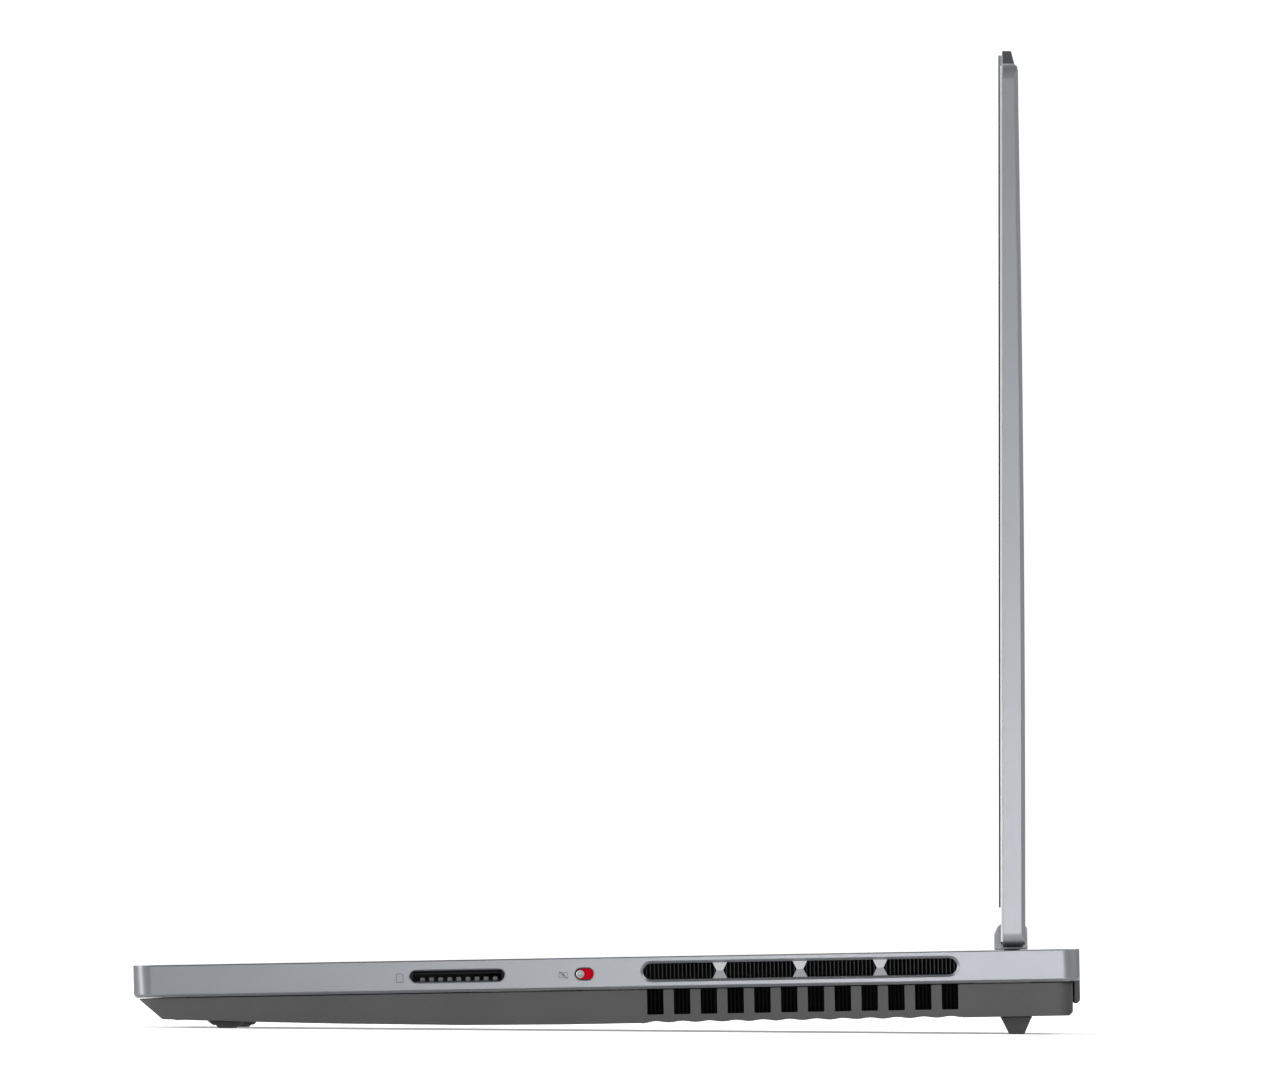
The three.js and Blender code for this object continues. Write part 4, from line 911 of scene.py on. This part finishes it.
def make_switch_field():
    """A dark lining around the switch's slot and the red strip that the knob uncovers."""
    bm = bmesh.new()
    y0, y1, z, half = 121.5, 126.6, SWITCH_Z, 1.6
    outer = rounded(y0 - 0.02, y1 + 0.02, z - half - 0.02, z + half + 0.02, half, 8)
    inner = rounded(y0 + 0.3, y1 - 0.12, z - half + 0.16, z + half - 0.16, half - 0.2, 8)
    ring_prism(bm, outer, inner, "x", SWITCH_FLOOR - 0.05, HALF_WIDTH - 0.6)
    add_piece("switch_lining", bm, DECK, "base", None, "black_plastic")
    bm = bmesh.new()
    field = rounded(y0 + 0.05, y1 - 0.05, z - half + 0.05, z + half - 0.05, half - 0.1, 8)
    prism(bm, field, "x", SWITCH_FLOOR - 0.1, SWITCH_FLOOR)
    add_piece("switch_field", bm, DECK, "base", None, "switch_plastic")


def make_card_contacts():
    """The ends of the card's spring contacts, and the dark lining of its cage."""
    count, first, pitch, half = 9, 79.5, 2.5, 0.65
    bm = bmesh.new()
    for i in range(count):
        middle = first + pitch * i
        outline = rounded(middle - half, middle + half, -5.8, -4.75, 0.3, 3)
        prism(bm, outline, "x", 176.6, 177.42)
    add_piece("card_contacts", bm, DECK, "base", DULL_STEEL)
    bm = bmesh.new()
    depths, span, heights = (170, 177.3), (77.2, 101), (-3.75, -3.5)
    block(bm, *depths, *span, *heights)
    add_piece("card_lining", bm, DECK, "base", DARK_BASE)
    NODES["card_reader"].material_slots[0].material = DARK_BASE


def make_side_details():
    for side, sign in SIDES:
        # The upper facets carry the painted highlight; the lower ones the plain facet metal.
        make_vent_facets(side, sign, "upper", VENT_Z + VENT_HALF, PAINTED_LIT_FACETS)
        make_vent_facets(side, sign, "lower", VENT_Z - VENT_HALF, FACET_METAL)
        make_side_fins(side, sign)
        make_fin_tips(side, sign)
        make_rear_fins(side, sign)
    make_icon_card()
    make_icon_camera()
    make_slider()
    make_switch_field()
    make_card_contacts()


make_side_details()

# ---- Sockets ---------------------------------------------------------------------------


def contact_row(bm, count, pitch, width, x, ends, z, height):
    """Flat contacts side by side, with their middle at x."""
    for i in range(count):
        middle = x + (i - (count - 1) / 2) * pitch
        block(bm, middle - width / 2, middle + width / 2, *ends, z, z + height)


REAR_PORT_Z = -8.6
TONGUE = (248, 256.9)
USB_A_PORTS = (-25, 21)
HDMI_PORT = -2
NETWORK_PORT = -46
POWER_BLADES = (44.2, 47.8)
SIDE_PORT_Z = -4.6
USB_C_PORTS = (77, 89)
AUDIO_PORT = 100


def make_socket_contacts():
    """Gold contacts on the tongues and in the network socket, and the power inlet's blades."""
    bm = bmesh.new()
    for x in USB_A_PORTS:
        contact_row(bm, count=4, pitch=2.2, width=1.1, x=x, ends=TONGUE,
                    z=REAR_PORT_Z - 0.98, height=0.1)
    contact_row(bm, count=9, pitch=1.2, width=0.6, x=HDMI_PORT, ends=TONGUE,
                z=REAR_PORT_Z + 0.58, height=0.08)
    contact_row(bm, count=8, pitch=1.1, width=0.35, x=NETWORK_PORT, ends=(249, 255.5),
                z=-6.2, height=0.25)
    half = 0.3
    for x in POWER_BLADES:
        block(bm, x - half, x + half, 247.5, 256, -10.4, -6.8)
    add_piece("rear_contacts", bm, DECK, "base", GOLD)
    bm = bmesh.new()
    count, pitch, half = 8, 0.75, 0.15
    low, high = SIDE_PORT_Z + 0.33, SIDE_PORT_Z + 0.39
    for y in USB_C_PORTS:
        for i in range(count):
            middle = y + (i - (count - 1) / 2) * pitch
            block(bm, -176, -166.5, middle - half, middle + half, low, high)
    add_piece("side_contacts", bm, DECK, "base", GOLD)


def make_port_rims():
    """Thin bright rims at the mouths of the left side's sockets."""
    bm = bmesh.new()
    ports = [(y, 4.5, 1.35) for y in USB_C_PORTS] + [(AUDIO_PORT, 1.8, 1.8)]
    for y, half_width, half_height in ports:
        wide, tall = half_width + 0.02, half_height + 0.02
        outer = rounded(y - wide, y + wide, SIDE_PORT_Z - tall, SIDE_PORT_Z + tall, half_height, 6)
        wide, tall, radius = half_width - 0.25, half_height - 0.25, half_height - 0.3
        inner = rounded(y - wide, y + wide, SIDE_PORT_Z - tall, SIDE_PORT_Z + tall, radius, 6)
        ring_prism(bm, outer, inner, "x", -HALF_WIDTH + 2.4, -HALF_WIDTH + 0.35)
    add_piece("port_rims", bm, DECK, "base", None, "socket_metal")


make_socket_contacts()
make_port_rims()

# ---- Underside ---------------------------------------------------------------------------

# The cover's underside from front to rear, and the screws in it from above.
UNDERSIDE = [(7.8, -14.9), (18, -15.4), (36, -16.2), (57, -17), (91, -18), (118, -18.3),
             (260, -18.3)]
SCREWS = [(x, y) for x in (-170, 0, 170) for y in (14, 128)]
SCREWS += [(x, 252) for x in (-170, -76, 76, 170)]
SCREW_RADIUS = 2.1
CROSS = ((0.35, -0.35), (1.35, -0.3), (1.35, 0.3))


def underside_at(y):
    """The height of the underside at a distance from the front edge."""
    for (y0, z0), (y1, z1) in zip(UNDERSIDE, UNDERSIDE[1:]):
        if y0 <= y <= y1:
            return z0 + (z1 - z0) * (y - y0) / (y1 - y0)
    return UNDERSIDE[-1][1]


def make_screws():
    """Flush cross-head screws in shallow dark seats."""
    heads, seats = bmesh.new(), bmesh.new()
    for x, y in SCREWS:
        z = underside_at(y)
        seat = [(2.9, z + 0.6), (2.9, z - 0.02), (2.3, z - 0.02), (2.2, z + 0.3)]
        lathe(seats, seat, (x, y, 0), "z", 28)
        cross = []
        for i in range(4):
            cos, sin = math.cos(math.pi / 2 * i), math.sin(math.pi / 2 * i)
            for along, across in CROSS:
                cross.append((along * cos - across * sin, along * sin + across * cos))
        outer = circle(SCREW_RADIUS, 12, math.atan2(-0.35, 0.35))
        rings = [
            [(x + p, y + q, z + 0.5) for p, q in outer],
            [(x + p, y + q, z + 0.05) for p, q in outer],
            [(x + p * 0.92, y + q * 0.92, z - 0.02) for p, q in outer],
            [(x + p, y + q, z - 0.02) for p, q in cross],
            [(x + p, y + q, z + 0.4) for p, q in cross],
        ]
        loft(heads, rings)
    add_piece("screw_heads", heads, DECK, "base", SCREW_STEEL, smooth=25)
    add_piece("screw_seats", seats, DECK, "base", None, "black_plastic")


def make_intake_mesh(side, sign):
    """A woven dust screen inside the cover, behind the fan's intake slots."""
    bm = bmesh.new()
    x0, x1 = sorted((sign * 84, sign * 152))
    y0, y1, z = 154.5, 221, -16.55
    pitch, half = 1.5, 0.18
    for i in range(int((x1 - x0) / pitch) + 1):
        x = x0 + i * pitch
        block(bm, x - half, x + half, y0, y1, z - 0.1, z + 0.05)
    for i in range(int((y1 - y0) / pitch) + 1):
        y = y0 + i * pitch
        block(bm, x0, x1, y - half, y + half, z - 0.05, z + 0.1)
    add_piece(f"intake_mesh_{side}", bm, DECK, "base", None, "black_plastic")


make_screws()
for side_name, side_sign in SIDES:
    make_intake_mesh(side_name, side_sign)

# ---- Lid ---------------------------------------------------------------------------------

LENS_Z = 236


def make_painted_rim_highlight():
    """A pale strip around the bezel's sides and top, in front of the lid's metal rim: a painted highlight of the
    rim's rounded front edge.
    """
    bm = bmesh.new()
    steps, foot, top = 6, -1.6, 239.35
    outer, inner = 179.0, 178.5
    top_corners = 2 * (steps + 1)
    arch = rounded(-outer, outer, 0, top, 3.4, steps)[:top_corners]
    inner_arch = rounded(-inner, inner, 0, top - 0.5, 3.0, steps)[:top_corners]
    outline = [(outer, foot), *arch, (-outer, foot)]
    back = [(inner, foot), *inner_arch, (-inner, foot)]
    prism(bm, outline + back[::-1], "y", -2.97, -2.5)
    add_piece("bezel_trim", bm, LID, "lid", RIM_HIGHLIGHT_PAINT)


def make_camera_details():
    """Lens rings, an activity light and two microphone holes beside the camera."""
    bm = bmesh.new()
    rings = ((2.15, 1.75, -2.9, -2.6), (1.7, 1.0, -2.7, -2.3))
    for outer, inner, front, back in rings:
        a = [(p, q + LENS_Z) for p, q in circle(outer, 32)]
        b = [(p, q + LENS_Z) for p, q in circle(inner, 32)]
        ring_prism(bm, a, b, "y", front, back)
    add_piece("lens_rings", bm, LID, "lid", None, "black_plastic")
    bm = bmesh.new()
    profile = [(1.0, -1.6), (1.0, -2.3), (0.75, -2.45), (0.35, -2.53), (0.02, -2.55)]
    lathe(bm, profile, (0, 0, LENS_Z), "y", 32)
    add_piece("camera_lens", bm, LID, "lid", None, "camera_glass")
    bm = bmesh.new()
    lathe(bm, [(0.45, -2.7), (0.45, -2.985), (0.3, -3.0)], (7, 0, LENS_Z), "y", 16)
    add_piece("camera_light", bm, LID, "lid", STATUS_LIGHT)
    bm = bmesh.new()
    for x in (-28, 28):
        profile = [(0.7, -2.8), (0.7, -2.99), (0.45, -2.99), (0.4, -2.85)]
        lathe(bm, profile, (x, 0, LENS_Z), "y", 16)
    add_piece("microphone_holes", bm, LID, "lid", None, "black_plastic")


def make_notch_shields():
    """Curved strips on the lid that nearly close the gaps above the hinge caps."""
    for side, sign in SIDES:
        bm = bmesh.new()
        inner, outer, steps = 5.2, 5.75, 8
        low, high = math.radians(64), math.radians(103)
        arc = [low + (high - low) * i / steps for i in range(steps + 1)]
        outline = [(outer * math.cos(a), outer * math.sin(a)) for a in arc]
        outline += [(inner * math.cos(a), inner * math.sin(a)) for a in reversed(arc)]
        x0, x1 = sorted((sign * 99.6, sign * 150.4))
        prism(bm, outline, "x", x0, x1)
        add_piece(f"notch_shield_{side}", bm, LID, "lid", None, "black_plastic")


make_painted_rim_highlight()
make_camera_details()
make_notch_shields()

# ---- Floor and light ------------------------------------------------------------------------


FLOOR_SIZE = 18
FLOOR_DROP = 0.00005
FLOOR_GLOW = (0.18, 0.33)


def make_floor():
    """A plain pale floor. It shows brighter than the light it gives to the part."""
    bm = bmesh.new()
    bmesh.ops.create_grid(bm, x_segments=1, y_segments=1, size=FLOOR_SIZE)
    mesh = bpy.data.meshes.new("floor")
    bm.to_mesh(mesh)
    bm.free()
    floor = bpy.data.objects.new("floor", mesh)
    floor.location.z = -FLOOR_DROP
    bpy.context.scene.collection.objects.link(floor)
    graph = Graph("floor_paper")
    seen = graph.nodes.new("ShaderNodeLightPath").outputs["Is Camera Ray"]
    pale = graph.blend(graph.spread(graph.noise(0.5), 0, 1), (0.9, 0.9, 0.9), (0.94, 0.94, 0.94))
    dim = graph.nodes.new("ShaderNodeMix")
    dim.data_type = "RGBA"
    dim.inputs["A"].default_value = (0.6, 0.6, 0.6, 1)
    graph.links.new(seen, dim.inputs["Factor"])
    graph.links.new(pale, dim.inputs["B"])
    graph.feed(dim.outputs["Result"], "Base Color")
    graph.feed(graph.spread(seen, *FLOOR_GLOW, (0, 1)), "Emission Strength")
    graph.set(Roughness=0.9, Emission_Color=(1, 1, 1, 1), Specular_IOR_Level=0.1)
    mesh.materials.append(graph.material)
    floor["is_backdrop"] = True


def aimed_light(name, kind, place, aim, energy):
    data = bpy.data.lights.new(name, kind)
    data.energy = energy
    light = bpy.data.objects.new(name, data)
    light.location = place
    light.rotation_mode = "QUATERNION"
    light.rotation_quaternion = (Vector(aim) - Vector(place)).to_track_quat("-Z", "Y")
    light.visible_camera = False
    bpy.context.scene.collection.objects.link(light)
    return data


def soft_box(name, place, aim, size, watts):
    data = aimed_light(name, "AREA", place, aim, watts)
    data.shape = "RECTANGLE"
    data.size, data.size_y = size


# The sky's brightness by the height of a direction: dark at the horizon, brightest half-way up.
SKY = ((0.0, 0.05), (0.16, 0.08), (0.36, 0.5), (0.66, 0.55), (0.85, 0.24), (1.0, 0.16))
SUNS = {"front_sky": (-0.15, -0.75, 0.65), "rear_sky": (-0.1, 0.75, 0.65)}
SUN_SPREAD = math.radians(50)
SUN_STRENGTH = 1.5
# The sky is stronger to the left, where X is low, than to the right.
SKY_SPAN = (0.2, 0.75)
SKY_STRENGTHS = (1.7, 0.85)
BACKDROP_STRENGTH = 1.05


def make_world():
    """A soft sky that lights the part, and a white backdrop that only the camera sees."""
    world = bpy.data.worlds.new("studio")
    world.use_nodes = True
    nodes, links = world.node_tree.nodes, world.node_tree.links
    where = nodes.new("ShaderNodeTexCoord")
    height = nodes.new("ShaderNodeSeparateXYZ")
    links.new(where.outputs["Generated"], height.inputs["Vector"])
    ramp = nodes.new("ShaderNodeValToRGB")
    stops = ramp.color_ramp.elements
    while len(stops) < len(SKY):
        stops.new(1.0)
    for stop, (place, value) in zip(stops, SKY):
        stop.position = place
        stop.color = (value, value, value, 1)
    links.new(height.outputs["Z"], ramp.inputs["Fac"])
    fall = nodes.new("ShaderNodeMapRange")
    fall.inputs["From Min"].default_value, fall.inputs["From Max"].default_value = SKY_SPAN
    fall.inputs["To Min"].default_value, fall.inputs["To Max"].default_value = SKY_STRENGTHS
    links.new(height.outputs["X"], fall.inputs["Value"])
    ambient = nodes["Background"]
    links.new(ramp.outputs["Color"], ambient.inputs["Color"])
    links.new(fall.outputs["Result"], ambient.inputs["Strength"])
    backdrop = nodes.new("ShaderNodeBackground")
    backdrop.inputs["Color"].default_value = (1, 1, 1, 1)
    backdrop.inputs["Strength"].default_value = BACKDROP_STRENGTH
    path = nodes.new("ShaderNodeLightPath")
    mix = nodes.new("ShaderNodeMixShader")
    links.new(path.outputs["Is Camera Ray"], mix.inputs["Fac"])
    links.new(ambient.outputs["Background"], mix.inputs[1])
    links.new(backdrop.outputs["Background"], mix.inputs[2])
    links.new(mix.outputs["Shader"], nodes["World Output"].inputs["Surface"])
    bpy.context.scene.world = world


def make_stage():
    make_floor()
    make_world()
    bpy.context.scene.view_settings.view_transform = "Standard"
    side = HALF_WIDTH * MM
    for name, place in SUNS.items():
        sun = aimed_light(name, "SUN", place, (0, 0, 0), SUN_STRENGTH)
        sun.angle = SUN_SPREAD
    soft_box("side_glow", place=(0.85, HINGE.y + 0.02, 0.03), aim=(side, HINGE.y, HINGE.z),
             size=(0.3, 0.06), watts=0.64)
    soft_box("corner_strip", place=(0.645, -1.557, 0.25), aim=(0.18, -0.13, 0.02),
             size=(0.2, 0.5), watts=4.6)
    soft_box("facet_glow", place=(1.452, 0.06, 0.807), aim=(side, 0.06, 0.02),
             size=(0.4, 0.15), watts=0.3)


make_stage()

# ---- Sizes ----------------------------------------------------------------------------------


def save_sizes():
    boxes = {"cad": CAD_BOX, "visual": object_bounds()}
    {name: [list(corner) for corner in box] for name, box in boxes.items()}


save_sizes()
